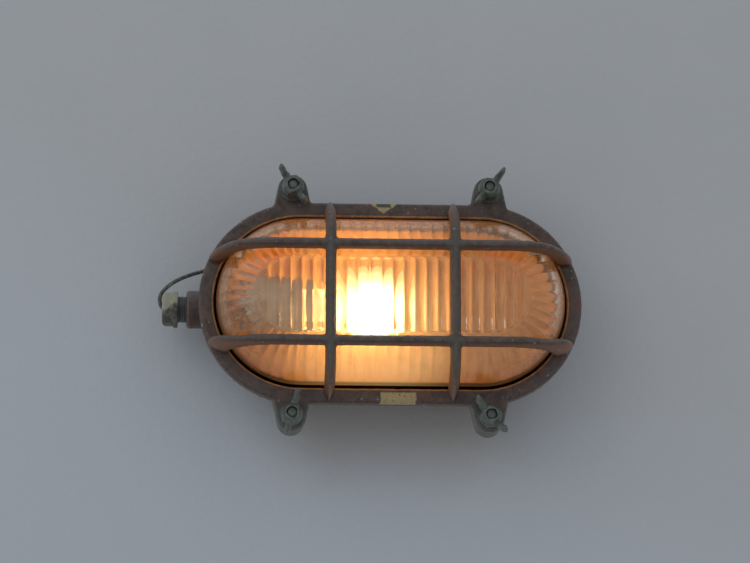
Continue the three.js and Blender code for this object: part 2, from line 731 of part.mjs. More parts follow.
piece(
  "lampholder_contact",
  along(rod(TIP_DIAMETER / 2 + 1, shellBack, tipBack - FIT_GAP, 12)),
  brass,
  lampGroup,
);
piece(
  "holder_lock_nut",
  cut(
    solid(along(rod(LOCK_NUT_DIAMETER / 2, lockNutBack, lockNutBack + LOCK_NUT_THICKNESS, 6))),
    solid(along(rod(NIPPLE_DIAMETER / 2 + FIT_GAP, lockNutBack - 1, holderBack))),
  ),
  steel,
  lampGroup,
);
const bracketFloor = DISH_FLOOR + FIT_GAP;
const bracketTop = LAMP_DEPTH + NIPPLE_DIAMETER;
const bracketSide = new THREE.Shape([
  [bracketBack, bracketFloor],
  [bracketBack, bracketTop],
  [bracketBack + BRACKET_THICKNESS, bracketTop],
  [bracketBack + BRACKET_THICKNESS, bracketFloor + BRACKET_THICKNESS],
  [bracketBack + BRACKET_FOOT, bracketFloor + BRACKET_THICKNESS],
  [bracketBack + BRACKET_FOOT, bracketFloor],
].map(([x, depth]) => new THREE.Vector2(x, depth)));
piece(
  "holder_bracket",
  cut(
    solid(
      new THREE.ExtrudeGeometry(bracketSide, { depth: BRACKET_WIDTH, bevelEnabled: false })
        .rotateX(Math.PI)
        .translate(0, 0, BRACKET_WIDTH / 2),
    ),
    solid(along(rod(NIPPLE_DIAMETER / 2 + FIT_GAP, bracketBack - 1, holderBack)).translate(0, -LAMP_DEPTH, 0)),
    ...screwHoles,
  ),
  steel,
);
const headBack = bracketFloor + BRACKET_THICKNESS + FIT_GAP;
for (const { name, z } of bracketScrews) {
  const screw = out(turned([
    [0, headBack - BRACKET_THICKNESS - screwShank],
    [SCREW_DIAMETER / 2, headBack - BRACKET_THICKNESS - screwShank],
    [SCREW_DIAMETER / 2, headBack],
    [SCREW_HEAD_DIAMETER / 2, headBack],
    [SCREW_HEAD_DIAMETER / 2, headBack + SCREW_HEAD_HEIGHT],
    [0, headBack + SCREW_HEAD_HEIGHT],
  ], 12));
  piece(name, screw.translate(bracketScrewX, 0, z), steel);
}

// ---- Lamp: cap, contact tip, glass and the stem that carries the filament.
const tipFront = tipBack + TIP_LENGTH;
const capBack = tipFront + FIT_GAP;
const capFront = capBack + CAP_LENGTH;
const bulbTop = tipBack + BULB_LENGTH;
const bulbCentre = bulbTop - BULB_DIAMETER / 2;
piece("bulb_tip", along(rod(TIP_DIAMETER / 2, tipBack, tipFront, 12)), brass, lampGroup);
piece(
  "bulb_cap",
  along(turned([
    [0, capBack],
    [TIP_DIAMETER / 2, capBack],
    [CAP_DIAMETER / 2, capBack + 3],
    [CAP_DIAMETER / 2, capFront],
    [CAP_DIAMETER / 2 - CAP_WALL, capFront],
    [CAP_DIAMETER / 2 - CAP_WALL, capBack + 3 + CAP_WALL],
    [0, capBack + CAP_WALL + 1],
  ])),
  brass,
  lampGroup,
);
// The glass runs from its neck inside the cap, widens in a smooth S, and closes in a ball.
const neckStart = capFront - 8;
const neckRadius = BULB_NECK_DIAMETER / 2;
function bulbProfile(wall) {
  const ballRadius = BULB_DIAMETER / 2;
  const rows = [[neckRadius - wall, neckStart]];
  const neckEnd = capFront + 6;
  const leave = bulbCentre - 4;
  for (const share of [0, 0.25, 0.5, 0.75, 1]) {
    const ease = share * share * (3 - 2 * share);
    rows.push([neckRadius + (ballRadius - neckRadius) * ease - wall, neckEnd + (leave - neckEnd) * share]);
  }
  for (const degrees of [18, 36, 54, 72]) {
    const angle = THREE.MathUtils.degToRad(degrees);
    rows.push([(ballRadius - wall) * Math.cos(angle), bulbCentre + (ballRadius - wall) * Math.sin(angle)]);
  }
  rows.push([0, bulbTop - wall]);
  return rows;
}
piece(
  "bulb_glass",
  along(turned([...bulbProfile(0), ...bulbProfile(BULB_WALL).reverse(), bulbProfile(0)[0]])),
  lampGlass,
  lampGroup,
);
const stemEnd = bulbCentre - FILAMENT_SPAN / 4;
piece(
  "bulb_stem",
  join(
    solid(along(turned([[0, neckStart + 2], [neckRadius - 3, neckStart + 2], [STEM_DIAMETER / 2, capFront + 8],
      [STEM_DIAMETER / 2, stemEnd], [0, stemEnd]], 12))),
    ...[-1, 1].map((side) =>
      solid(cable([
        [stemEnd - 8, 0, 0],
        [stemEnd, 0, side * 4],
        [bulbCentre + 3, 0, side * (FILAMENT_SPAN / 2)],
      ], 0.5, 6, 6)),
    ),
    solid(rod(0.7, -FILAMENT_SPAN / 2 - 1, FILAMENT_SPAN / 2 + 1, 8).rotateX(Math.PI / 2)
      .translate(bulbCentre + 2.6, 0, 0)),
  ),
  steel,
  lampGroup,
);

export default root;
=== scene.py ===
import math

import bmesh
import bpy
import numpy as np
from mathutils import Matrix, Vector


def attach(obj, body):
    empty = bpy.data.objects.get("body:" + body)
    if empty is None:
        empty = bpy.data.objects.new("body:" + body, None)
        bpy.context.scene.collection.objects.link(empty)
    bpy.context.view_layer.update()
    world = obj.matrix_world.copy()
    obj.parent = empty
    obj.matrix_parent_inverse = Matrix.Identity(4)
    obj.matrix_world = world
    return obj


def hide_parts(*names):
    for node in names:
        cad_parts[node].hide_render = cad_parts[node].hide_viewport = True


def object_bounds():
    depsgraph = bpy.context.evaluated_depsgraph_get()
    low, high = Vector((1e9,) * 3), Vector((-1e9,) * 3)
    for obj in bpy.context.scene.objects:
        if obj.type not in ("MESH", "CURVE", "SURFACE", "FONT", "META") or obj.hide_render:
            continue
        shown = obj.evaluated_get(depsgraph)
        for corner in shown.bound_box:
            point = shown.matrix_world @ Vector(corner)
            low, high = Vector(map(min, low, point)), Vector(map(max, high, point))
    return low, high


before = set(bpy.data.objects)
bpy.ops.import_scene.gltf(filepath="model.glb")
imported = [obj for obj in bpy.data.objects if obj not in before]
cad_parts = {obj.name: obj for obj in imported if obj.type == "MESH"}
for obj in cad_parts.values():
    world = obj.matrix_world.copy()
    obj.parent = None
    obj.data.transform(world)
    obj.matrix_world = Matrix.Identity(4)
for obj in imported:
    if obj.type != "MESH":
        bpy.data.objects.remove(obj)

cad_low, cad_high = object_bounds()

# ---- Camera. It stands a little left of the light and well below it, looking up at the wall, with a long
# lens, so the guard's bars rise up the picture as they come forward.
camera_side, camera_rise, camera_distance = math.radians(-3), math.radians(-13.5), 2.7
camera_back = Vector((
    math.sin(camera_side) * math.cos(camera_rise),
    -math.cos(camera_side) * math.cos(camera_rise),
    math.sin(camera_rise),
))
camera_turn = (-camera_back).to_track_quat("-Z", "Y")
rim_centre = Vector((0, -0.064, 0))
aim = rim_centre + camera_turn @ Vector((-0.0119, 0.0159, 0))
camera = bpy.data.objects.new("camera", bpy.data.cameras.new("camera"))
bpy.context.scene.collection.objects.link(camera)
camera.data.lens = 171.7
camera.data.clip_start, camera.data.clip_end = 0.05, 60
camera.rotation_mode = "QUATERNION"
camera.rotation_quaternion = camera_turn
camera.location = aim + camera_back * camera_distance
bpy.context.scene.camera = camera
bpy.context.scene.view_settings.view_transform = "Standard"


# ---- Supply lead. A 3 mm grey-green sheathed lead that comes out of the gland's nut, turns back over the
# boss and goes into the wall beside the dish. It is weathered and dusty.
class Value:
    """A number on its way through a finish: working with it adds Math nodes."""

    def __init__(self, finish, socket):
        self.finish, self.socket = finish, socket

    def math(self, operation, *inputs):
        return self.finish.node("ShaderNodeMath", {"operation": operation}, dict(enumerate(inputs)))

    def __add__(self, other):
        return self.math("ADD", self, other)

    def __sub__(self, other):
        return self.math("SUBTRACT", self, other)

    def __rsub__(self, other):
        return self.math("SUBTRACT", other, self)

    def __mul__(self, other):
        return self.math("MULTIPLY", self, other)

    def __truediv__(self, other):
        return self.math("DIVIDE", self, other)

    def __neg__(self):
        return 0 - self

    def __abs__(self):
        return self.math("ABSOLUTE", self)

    __radd__, __rmul__ = __add__, __mul__


class Finish:
    """One procedural material. node() adds any node; the rest are the few that every finish here uses."""

    def __init__(self, name):
        self.material = bpy.data.materials.new(name)
        self.material.use_nodes = True
        self.tree = self.material.node_tree
        self.tree.nodes.clear()
        self.place = self.node("ShaderNodeTexCoord", out="Object")
        self.x, self.y, self.z = self.node(
            "ShaderNodeSeparateXYZ", inputs={"Vector": self.place}, out=("X", "Y", "Z"))

    def node(self, kind, settings=None, inputs=None, out=0):
        made = self.tree.nodes.new(kind)
        for key, setting in (settings or {}).items():
            if key != "stops":
                setattr(made, key, setting)
                continue
            elements = made.color_ramp.elements
            elements.remove(elements[1])
            elements[0].position, elements[0].color = setting[0][0], (*setting[0][1], 1)
            for at, colour in setting[1:]:
                elements.new(at).color = (*colour, 1)
        for key, given in (inputs or {}).items():
            if isinstance(given, Value):
                self.tree.links.new(given.socket, made.inputs[key])
            else:
                made.inputs[key].default_value = given
        if isinstance(out, tuple):
            return [Value(self, made.outputs[name]) for name in out]
        return Value(self, made.outputs[out])

    def noise(self, scale, detail=3, roughness=0.55, distortion=0.0):
        return self.node("ShaderNodeTexNoise", inputs={
            "Vector": self.place, "Scale": scale, "Detail": detail,
            "Roughness": roughness, "Distortion": distortion}, out="Fac")

    def distance_to(self, place, point):
        return self.node("ShaderNodeVectorMath", {"operation": "DISTANCE"}, {0: place, 1: point}, out="Value")

    def step(self, value, low, high):
        """A smooth step from 0 at low to 1 at high; low may be the larger of the two."""
        return self.node("ShaderNodeMapRange", {"interpolation_type": "SMOOTHSTEP"},
                         {"Value": value, "From Min": low, "From Max": high})

    def mix(self, factor, a, b):
        a, b = [c if isinstance(c, Value) else (*c, 1) for c in (a, b)]
        return self.node("ShaderNodeMix", {"data_type": "RGBA"}, {0: factor, 6: a, 7: b}, out=2)

    def bump(self, height, distance, strength=1.0):
        return self.node("ShaderNodeBump", inputs={
            "Height": height, "Distance": distance, "Strength": strength}, out="Normal")

    def surface(self, one_sided=False, **inputs):
        """Ends the material in one Principled shader. A one-sided surface is clear from behind."""
        inputs = {key.replace("_", " "): given for key, given in inputs.items()}
        for key, given in inputs.items():
            if isinstance(given, tuple) and len(given) == 3:
                inputs[key] = (*given, 1)
        shader = self.node("ShaderNodeBsdfPrincipled", inputs=inputs, out="BSDF")
        if one_sided:
            behind = self.node("ShaderNodeNewGeometry", out="Backfacing")
            clear = self.node("ShaderNodeBsdfTransparent")
            shader = self.node("ShaderNodeMixShader", inputs={0: behind, 1: shader, 2: clear})
        self.node("ShaderNodeOutputMaterial", inputs={"Surface": shader}, out=())
        return self.material


lead_sheath = Finish("lead_sheath")
dust = lead_sheath.step(lead_sheath.noise(420, 4), 0.42, 0.66)
lead_sheath.surface(
    Base_Color=lead_sheath.mix(dust, (0.055, 0.06, 0.05), (0.16, 0.165, 0.14)),
    Roughness=dust * 0.2 + 0.6,
    Normal=lead_sheath.bump(lead_sheath.noise(900, 3), 0.0003),
)

lead_route = np.array([
    (-150, -32, 0), (-156, -32, 0), (-162, -32, 0), (-168.3, -32, 0), (-171.3, -32, 0.8), (-173.5, -32, 3),
    (-174.3, -32, 6), (-174.2, -32.2, 9.6), (-172.6, -32.6, 13.3), (-169.2, -33, 16.9), (-164.6, -33, 20.6),
    (-159.4, -32, 23.9), (-154, -30, 26.7), (-148.6, -27, 29.4), (-143.4, -22.6, 32), (-139, -17.4, 34.8),
    (-135.4, -11.8, 38), (-132.6, -6.4, 41.4), (-131, -1.6, 44.4),
]) / 1000
lead_curve = bpy.data.curves.new("supply_lead_sheath", "CURVE")
lead_curve.dimensions = "3D"
lead_curve.resolution_u = 6
lead_curve.bevel_depth, lead_curve.bevel_resolution = 0.0015, 5
lead_curve.use_fill_caps = True
lead_line = lead_curve.splines.new("BEZIER")
lead_line.bezier_points.add(len(lead_route) - 1)
for knot, at in zip(lead_line.bezier_points, lead_route):
    knot.co = at
    knot.handle_left_type = knot.handle_right_type = "AUTO"
supply_lead = bpy.data.objects.new("supply_lead_sheath", lead_curve)
bpy.context.scene.collection.objects.link(supply_lead)
lead_curve.materials.append(lead_sheath.material)
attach(supply_lead, "housing")
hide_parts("supply_lead")


def finish_node(name, finish):
    """Puts a finish on a piece that keeps its solid's own mesh."""
    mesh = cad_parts[name].data
    mesh.materials.clear()
    mesh.materials.append(finish.material)


finish_node("lead_tail", lead_sheath)

# ---- Wall, floor and light: a pale plastered wall that the light hangs on, a pale floor far below it, an
# even evening sky, and one wide soft light from the upper left.
plaster = Finish("pale_plaster")
trowel = plaster.noise(9, 4)
limewash = plaster.mix(trowel, (0.44, 0.455, 0.465), (0.485, 0.495, 0.505))
# Painted sky light: the wall is lighter and bluer towards the bottom left.
painted_sky_light = plaster.step(plaster.x * 0.4 + plaster.z, 0.06, -0.20)
limewash = plaster.mix(painted_sky_light * 0.6, limewash, (0.47, 0.52, 0.575))
# A faint warm brown painted shadow lies on the wall under the light.
waver = plaster.x + plaster.noise(14, 3) * 0.03
painted_warm_shadow = plaster.step(plaster.z + (plaster.noise(20, 4) - 0.5) * 0.03, -0.150, -0.075) \
    * plaster.step(plaster.z, 0.02, -0.05) \
    * plaster.step(waver, 0.145, 0.06) * plaster.step(waver, -0.10, -0.03)
plaster.surface(
    one_sided=True,
    Base_Color=plaster.mix(painted_warm_shadow * 0.5, limewash, (0.37, 0.32, 0.255)),
    Roughness=0.95,
    Specular_IOR_Level=0.1,
    Normal=plaster.bump(plaster.noise(160, 4), 0.001, 0.5),
)
pale_floor = Finish("pale_floor")
pale_floor.surface(
    Base_Color=pale_floor.mix(pale_floor.noise(3, 3), (0.80, 0.80, 0.80), (0.86, 0.86, 0.86)),
    Roughness=0.9,
)


def add_mesh(name, verts, faces, finish, smooth=True):
    """A new object at the origin from arrays of points and faces, with one finish."""
    mesh = bpy.data.meshes.new(name)
    mesh.from_pydata(verts.tolist(), [], faces if isinstance(faces, list) else faces.tolist())
    mesh.polygons.foreach_set("use_smooth", np.full(len(mesh.polygons), smooth))
    mesh.materials.append(finish.material)
    mesh.update()
    made = bpy.data.objects.new(name, mesh)
    bpy.context.scene.collection.objects.link(made)
    return made


wall_back, floor_down, room = 0.0006, -3.2, 7.0
wall = add_mesh("stage_wall", np.array([
    (-room, wall_back, floor_down), (room, wall_back, floor_down),
    (room, wall_back, room), (-room, wall_back, room)]), [(0, 1, 2, 3)], plaster, False)
floor = add_mesh("stage_floor", np.array([
    (-room, -room, floor_down), (room, -room, floor_down),
    (room, room, floor_down), (-room, room, floor_down)]), [(0, 1, 2, 3)], pale_floor, False)
# The wall has one side only and stops no light, so the dish's back can be looked at too.
wall.visible_shadow = wall.visible_diffuse = wall.visible_glossy = wall.visible_transmission = False

sky = bpy.data.worlds.new("evening_sky")
sky.use_nodes = True
air = sky.node_tree.nodes["Background"].inputs
air["Color"].default_value, air["Strength"].default_value = (0.80, 0.83, 0.88, 1), 0.66
bpy.context.scene.world = sky
soft_light = bpy.data.lights.new("soft_light", "AREA")
soft_light.energy, soft_light.size, soft_light.color = 10, 2.2, (0.94, 0.97, 1.0)
soft_lamp = bpy.data.objects.new("soft_light", soft_light)
bpy.context.scene.collection.objects.link(soft_lamp)
soft_lamp.location = (-1.7, -2.0, 1.1)
soft_lamp.rotation_mode = "QUATERNION"
soft_lamp.rotation_quaternion = (-soft_lamp.location).to_track_quat("-Z", "Y")

# ---- Dish. One bronze casting on the wall: a floor, a leaning wall, a flange with a groove for the gasket,
# four lugs for the studs and a boss for the gland. Outside it is dark and weathered, inside painted cream.
half_straight, frame_radius, dish_depth = 0.0675, 0.0775, 0.050


def obround_rows(profile, arc_steps, straight_steps):
    """Carries a closed profile round an obround. Each row is a radius from the middle line, a depth from the
    wall and half the straight part's length; a point is the middle line's end plus the radius times its
    direction, so a row of radius 0 closes on the middle line."""
    angle = np.linspace(-np.pi / 2, np.pi / 2, arc_steps + 1)
    run = np.linspace(1, -1, straight_steps + 2)[1:-1]
    ends = np.concatenate([np.ones(arc_steps + 1), run, -np.ones(arc_steps + 1), -run])
    cos = np.concatenate([np.cos(angle), 0 * run, -np.cos(angle), 0 * run])
    sin = np.concatenate([np.sin(angle), 0 * run + 1, -np.sin(angle), 0 * run - 1])
    radius, depth, straight = [c[:, None] for c in np.array(profile, float).T]
    return np.stack([straight * ends + radius * cos, -depth + 0 * ends, radius * sin], axis=-1)


def closed_grid(points, wrap_rows=True):
    """Faces of a grid of points whose columns run round a loop, and whose rows may close on themselves."""
    rows, columns = points.shape[:2]
    number = np.arange(rows * columns).reshape(rows, columns)
    if wrap_rows:
        number = np.vstack([number, number[:1]])
    around = np.roll(number, -1, axis=1)
    faces = np.stack([number[:-1], around[:-1], around[1:], number[1:]], axis=-1).reshape(-1, 4)
    return points.reshape(-1, 3), faces


def quadratic(share, start, bend, end):
    """A quadratic curve at a share of its way: it leaves start towards bend and comes to end from it."""
    return (1 - share) ** 2 * start + 2 * share * (1 - share) * bend + share ** 2 * end


def rounded(corners, radius, steps=4):
    """A profile whose corners are rounded: each corner becomes a quadratic curve that leaves it by radius, or
    by less than half of its shorter side."""
    corners = np.array(corners, float)
    before, after = np.roll(corners, 1, axis=0), np.roll(corners, -1, axis=0)
    back, on = before - corners, after - corners
    back_length = np.linalg.norm(back, axis=1, keepdims=True)
    on_length = np.linalg.norm(on, axis=1, keepdims=True)
    reach = np.minimum(radius, 0.45 * np.minimum(back_length, on_length))
    start, end = corners + back / back_length * reach, corners + on / on_length * reach
    share = np.linspace(0, 1, steps + 1)[None, :, None]
    return quadratic(share, start[:, None], corners[:, None], end[:, None]).reshape(-1, 2)


def with_straight(profile):
    """A profile of radius and depth with the same straight part on each row."""
    return np.column_stack([profile, np.full(len(profile), half_straight)])


def joined(parts):
    """Several lots of points and faces as one."""
    shifts = np.cumsum([0] + [len(points) for points, _ in parts])
    return (np.vstack([points for points, _ in parts]),
            np.vstack([faces + shift for (_, faces), shift in zip(parts, shifts)]))


def turned_rows(profile, steps=48):
    """A profile of (radius, distance) rows turned about its axis: distance runs along the first coordinate,
    and the radius goes round through the other two."""
    angle = np.linspace(0, 2 * np.pi, steps, endpoint=False)
    radius, distance = [c[:, None] for c in np.array(profile, float).T]
    return np.stack([distance + 0 * angle, radius * np.cos(angle), radius * np.sin(angle)], axis=-1)


corner_places = {"tl": (-1, 1), "tr": (1, 1), "bl": (-1, -1), "br": (1, -1)}
stud_x, stud_z, stud_hole = 0.0745, 0.08778, 0.0044


def lug_rows(radius, side_x, side_z, back, front, edge, steps=64):
    """A lug with its stud's hole: a loop that goes round the hole on the back, out to the lug's outline, up
    its side and back to the hole on the front. The outline is a round end and two straight sides that spread
    to the rim; the point at each angle is where a ray from the stud meets it."""
    angle = np.linspace(0, 2 * np.pi, steps, endpoint=False) + np.pi / steps
    root_x, root_z = 0.0155, -0.0195
    tangent = np.arctan2(root_z, root_x) + np.arccos(radius / np.hypot(root_x, root_z))
    cos, sin = np.cos(angle), np.sin(angle)
    normal_x, normal_z = np.cos(tangent), np.sin(tangent)
    facing = np.abs(cos) * normal_x + sin * normal_z
    along_side = np.where(facing > 1e-6, radius / np.maximum(facing, 1e-6), 1)
    to_root = np.where(sin < -1e-6, root_z / np.minimum(sin, -1e-6), 1)
    reach = np.where(np.arctan2(sin, np.abs(cos)) > tangent, radius, np.minimum(along_side, to_root))
    rows, bevel = [], edge * 0.3
    for outwards, depth, is_hole in (
        (0, back, True), (-edge, back, False), (-bevel, back + bevel, False), (0, back + edge, False),
        (0, front - edge, False), (-bevel, front - bevel, False), (-edge, front, False), (0, front, True),
    ):
        out = np.full(steps, stud_hole) if is_hole else reach + outwards
        rows.append(np.stack([side_x * (stud_x + out * cos), np.full(steps, -depth),
                              side_z * (stud_z + out * sin)], axis=-1))
    rows = np.array(rows)
    return rows[:, ::-1] if side_x * side_z < 0 else rows


def voxel_body(name, parts, voxel, smoothing, finish, lumps=0.0, drill=None):
    """Parts that overlap become one casting: they are remeshed together on a fine voxel grid, and smoothing
    it rounds the inner corners as fillets do. What the drill fills is cut out of it. The skin then moves
    along its normals by up to lumps, a product of three sines that run askew, and stays in the object's
    box. The attribute worn tells ridges, above 0, from hollows."""
    made = add_mesh(name, *joined(parts), finish)
    remesh = made.modifiers.new("one_casting", "REMESH")
    remesh.mode, remesh.voxel_size, remesh.use_smooth_shade = "VOXEL", voxel, True
    smooth = made.modifiers.new("fillets", "SMOOTH")
    smooth.factor, smooth.iterations = 0.5, smoothing
    if drill:
        cut = made.modifiers.new("holes", "BOOLEAN")
        cut.operation, cut.object = "DIFFERENCE", drill
    bpy.context.view_layer.update()
    solid = bpy.data.meshes.new_from_object(made.evaluated_get(bpy.context.evaluated_depsgraph_get()))
    made.modifiers.clear()
    made.data = solid
    solid.name = name
    solid.polygons.foreach_set("use_smooth", np.ones(len(solid.polygons), bool))
    if not solid.materials:
        solid.materials.append(finish.material)
    at, facing = np.empty(len(solid.vertices) * 3), np.empty(len(solid.vertices) * 3)
    solid.vertices.foreach_get("co", at)
    solid.vertices.foreach_get("normal", facing)
    askew = np.array([(610, 130, -240), (-170, 540, 300), (220, -310, 660)])
    ripple = np.sin(at.reshape(-1, 3) @ askew.T)
    at += facing * np.repeat(lumps * ripple.prod(axis=1), 3)
    at = np.clip(at.reshape(-1, 3), cad_low, cad_high).ravel()
    solid.vertices.foreach_set("co", at)
    add_worn(solid)
    return made


def add_worn(mesh):
    """How far each point stands out from the middle of its neighbours, along its normal, in voxels."""
    count, edges = len(mesh.vertices), np.empty(len(mesh.edges) * 2, int)
    at, facing = np.empty(count * 3), np.empty(count * 3)
    mesh.vertices.foreach_get("co", at)
    mesh.vertices.foreach_get("normal", facing)
    mesh.edges.foreach_get("vertices", edges)
    at, facing, edges = at.reshape(-1, 3), facing.reshape(-1, 3), edges.reshape(-1, 2)
    number = np.maximum(np.bincount(edges.ravel(), minlength=count), 1)

    def middle(values):
        total = np.zeros_like(values)
        np.add.at(total, edges[:, 0], values[edges[:, 1]])
        np.add.at(total, edges[:, 1], values[edges[:, 0]])
        return total / number.reshape((-1,) + (1,) * (values.ndim - 1))

    span = np.linalg.norm(at[edges[:, 0]] - at[edges[:, 1]], axis=1).mean()
    proud = ((at - middle(at)) * facing).sum(axis=1) / span
    for _ in range(3):
        proud = 0.5 * proud + 0.5 * middle(proud)
    layer = mesh.attributes.new("worn", "FLOAT", "POINT")
    layer.data.foreach_set("value", proud.astype(np.float32))


bronze = Finish("patina_bronze")
x, y, z = bronze.x, bronze.y, bronze.z
worn = bronze.node("ShaderNodeAttribute", {"attribute_name": "worn"}, out="Fac")
facing = bronze.node("ShaderNodeTexCoord", out="Normal")
facing_up = bronze.node("ShaderNodeSeparateXYZ", inputs={"Vector": facing}, out="Z")
facing_front = -bronze.node("ShaderNodeSeparateXYZ", inputs={"Vector": facing}, out="Y")
cloud = bronze.noise(28, 4, 0.6)
blotch = bronze.noise(95, 5, 0.65, 0.4)
mottle = bronze.noise(210, 4, 0.7, 0.6)
speck = bronze.noise(520, 3, 0.6)
grain = bronze.noise(1500, 3, 0.6)

patchy = bronze.step(blotch * 0.6 + mottle * 0.4, 0.42, 0.58)
brown = bronze.mix(patchy, (0.038, 0.025, 0.020), (0.088, 0.061, 0.047))
mauve = bronze.mix(bronze.step(cloud, 0.44, 0.66) * 0.7, brown, (0.080, 0.064, 0.060))
red_brown = bronze.mix(bronze.step(bronze.noise(60, 4, 0.7), 0.52, 0.68) * 0.7, mauve, (0.115, 0.045, 0.024))
# What faces up is greyed, partly by dust and partly as painted sky light, and what faces down is painted dark
# as shade.
dust_and_sky_light = bronze.step(facing_up + (mottle - 0.5) * 0.5, 0.10, 0.75)
weathered = bronze.mix(dust_and_sky_light * 0.55, red_brown, (0.135, 0.118, 0.102))
# Painted shade: faces that turn down are darkened to a deep brown.
weathered = bronze.mix(bronze.step(facing_up + (mottle - 0.5) * 0.4, -0.05, -0.70) * 0.75, weathered,
                       (0.046, 0.019, 0.010))
# Grey-green copper bloom on the lugs and in patches on the bars.
beyond = x.math("MAXIMUM", abs(x) - half_straight, 0.0)
from_line = x.math("SQRT", beyond * beyond + z * z)
on_lug = bronze.step(abs(z) + (blotch - 0.5) * 0.012, 0.0775, 0.083)
on_bars = bronze.step(-y + (blotch - 0.5) * 0.012, 0.066, 0.078)
bloom = bronze.step(blotch * 0.6 + speck * 0.4, 0.44, 0.56)
greened = bronze.mix(on_lug * (0.55 + bloom * 0.4), weathered, (0.060, 0.072, 0.058))
upright_x = 0.0465
on_upright = bronze.step(abs(abs(x) - upright_x), 0.0085, 0.0050)
greened = bronze.mix(on_bars * (on_upright * 0.45 + bloom * 0.15), greened, (0.070, 0.074, 0.062))
# The sides and undersides of the bars beside the glass are painted warm orange-brown as light from the lamp.
lamp_lit_sides = bronze.step(facing_front, 0.80, 0.35) * bronze.step(facing_up, 0.75, 0.35)
beside_glass = bronze.step(-y + (blotch - 0.5) * 0.006, 0.0680, 0.0720)
greened = bronze.mix(beside_glass * lamp_lit_sides * 0.75, greened, (0.185, 0.078, 0.034))
# Old cream paint that has stayed in one notch at the top of the rim and along its bottom.
from_notch = abs(x + 0.0052)
notch = (z - 0.0686) * 1.25 - from_notch + (mottle - 0.5) * 0.006
band = bronze.step(abs(x - 0.0055) + (mottle - 0.5) * 0.004, 0.0140, 0.0126) \
    * bronze.step(z + (mottle - 0.5) * 0.002, -0.0685, -0.0700)
on_rim = bronze.step(-y, 0.058, 0.0605) * bronze.step(-y, 0.0675, 0.066)
paint = (bronze.step(notch, 0.0, 0.0012) + band * 0.9) * on_rim * bronze.step(speck, 0.30, 0.42)
painted = bronze.mix(paint, greened, (0.36, 0.29, 0.145))
stain = bronze.step(from_notch + (mottle - 0.5) * 0.004, 0.0064, 0.0048) \
    * bronze.step(z + (mottle - 0.5) * 0.002, 0.0735, 0.0748)
painted = bronze.mix(stain * 0.9, painted, (0.030, 0.036, 0.022))
# Rubbed ridges are lighter, with a few bright flecks. The edge of the window is orange-brown, partly worn and
# partly painted light from the lamp, and the wall of the window behind it is painted near black as shade.
ridge = bronze.step(worn + (speck - 0.5) * 0.12, 0.035, 0.12)
rubbed = bronze.mix(ridge * 0.42, painted, (0.17, 0.148, 0.128))
window_edge_wear_and_glow = bronze.step(from_line, 0.0680, 0.0670) * bronze.step(-y, 0.0610, 0.0622) \
    * bronze.step(-y, 0.0665, 0.0650)
rubbed = bronze.mix(window_edge_wear_and_glow * (0.6 + bloom * 0.4), rubbed, (0.60, 0.29, 0.11))
fleck = bronze.step(bronze.noise(340, 1, 0.4), 0.73, 0.78)
flecked = bronze.mix(fleck * 0.6, rubbed, (0.34, 0.32, 0.29))
# Hollows are darker.
hollow = bronze.step(worn, -0.02, -0.11)
darker_in_hollows = bronze.mix(hollow * 0.6, flecked, (0.020, 0.015, 0.013))
# Painted shade: the window's wall behind its edge, in the gap by the glass, is painted near black.
window_wall_shade = bronze.step(from_line, 0.0675, 0.0668) * bronze.step(-y, 0.0618, 0.0606) \
    * bronze.step(-y, 0.0550, 0.0565)
bronze.surface(
    Base_Color=bronze.mix(window_wall_shade, darker_in_hollows, (0.010, 0.006, 0.005)),
    Metallic=ridge * 0.25,
    Roughness=0.60 + (blotch - 0.5) * 0.35 - ridge * 0.1 + paint * 0.1,
    Normal=bronze.bump(blotch * 0.45 + mottle * 0.3 + speck * 0.35 + grain * 0.15, 0.0011, 0.9),
)

cream_enamel = Finish("cream_enamel")
soot = cream_enamel.step(cream_enamel.noise(45, 5, 0.7), 0.42, 0.72)
# Rust has come through the enamel high up in both ends.
either_end = cream_enamel.node("ShaderNodeCombineXYZ", inputs={
    "X": abs(cream_enamel.x), "Y": cream_enamel.y, "Z": cream_enamel.z})
from_rust = cream_enamel.distance_to(either_end, (0.088, -0.018, 0.047))
rust = cream_enamel.step(from_rust + (cream_enamel.noise(60, 4) - 0.5) * 0.02, 0.024, 0.011)
yellowed = cream_enamel.mix(soot, (0.62, 0.43, 0.23), (0.42, 0.24, 0.095))
cream_enamel.surface(
    Base_Color=cream_enamel.mix(rust * 0.85, yellowed, (0.72, 0.29, 0.03)),
    Roughness=0.45 + soot * 0.3,
    Normal=cream_enamel.bump(cream_enamel.noise(300, 3), 0.0004),
)

groove_in, groove_out, groove_floor = 0.0645, 0.0705, 0.048
dish_outside = rounded([
    (0.0640, 0.0), (0.0690, 0.042), (0.0740, 0.042), (0.0740, dish_depth), (groove_out, dish_depth),
    (groove_out, groove_floor), (groove_in, groove_floor), (groove_in, dish_depth), (0.0640, dish_depth),
    (0.0590, 0.005), (0.030, 0.005), (0.030, 0.0)], 0.0012)
dish_ring = closed_grid(obround_rows(with_straight(dish_outside), 120, 60))
dish_floor = closed_grid(obround_rows(with_straight(np.array(
    [(0, 0), (0.02, 0), (0.034, 0), (0.034, 0.005), (0.02, 0.005), (0, 0.005)])), 48, 40), False)
boss_axis = (0, -0.032, 0)
dish_left = -(half_straight + 0.064 + 0.005 * 0.032 / 0.042)
boss_end, boss_radius, thread_radius = dish_left - 0.019, 0.0145, 0.01025
boss = turned_rows(rounded([
    (thread_radius + 0.0003, boss_end), (boss_radius, boss_end), (boss_radius, dish_left - 0.004),
    (boss_radius + 0.003, dish_left + 0.002), (boss_radius + 0.003, dish_left + 0.0045),
    (0.0046, dish_left + 0.0045), (0.0046, boss_end + 0.0153), (thread_radius + 0.0003, boss_end + 0.0153),
], 0.0012), 64)[:, ::-1] + boss_axis
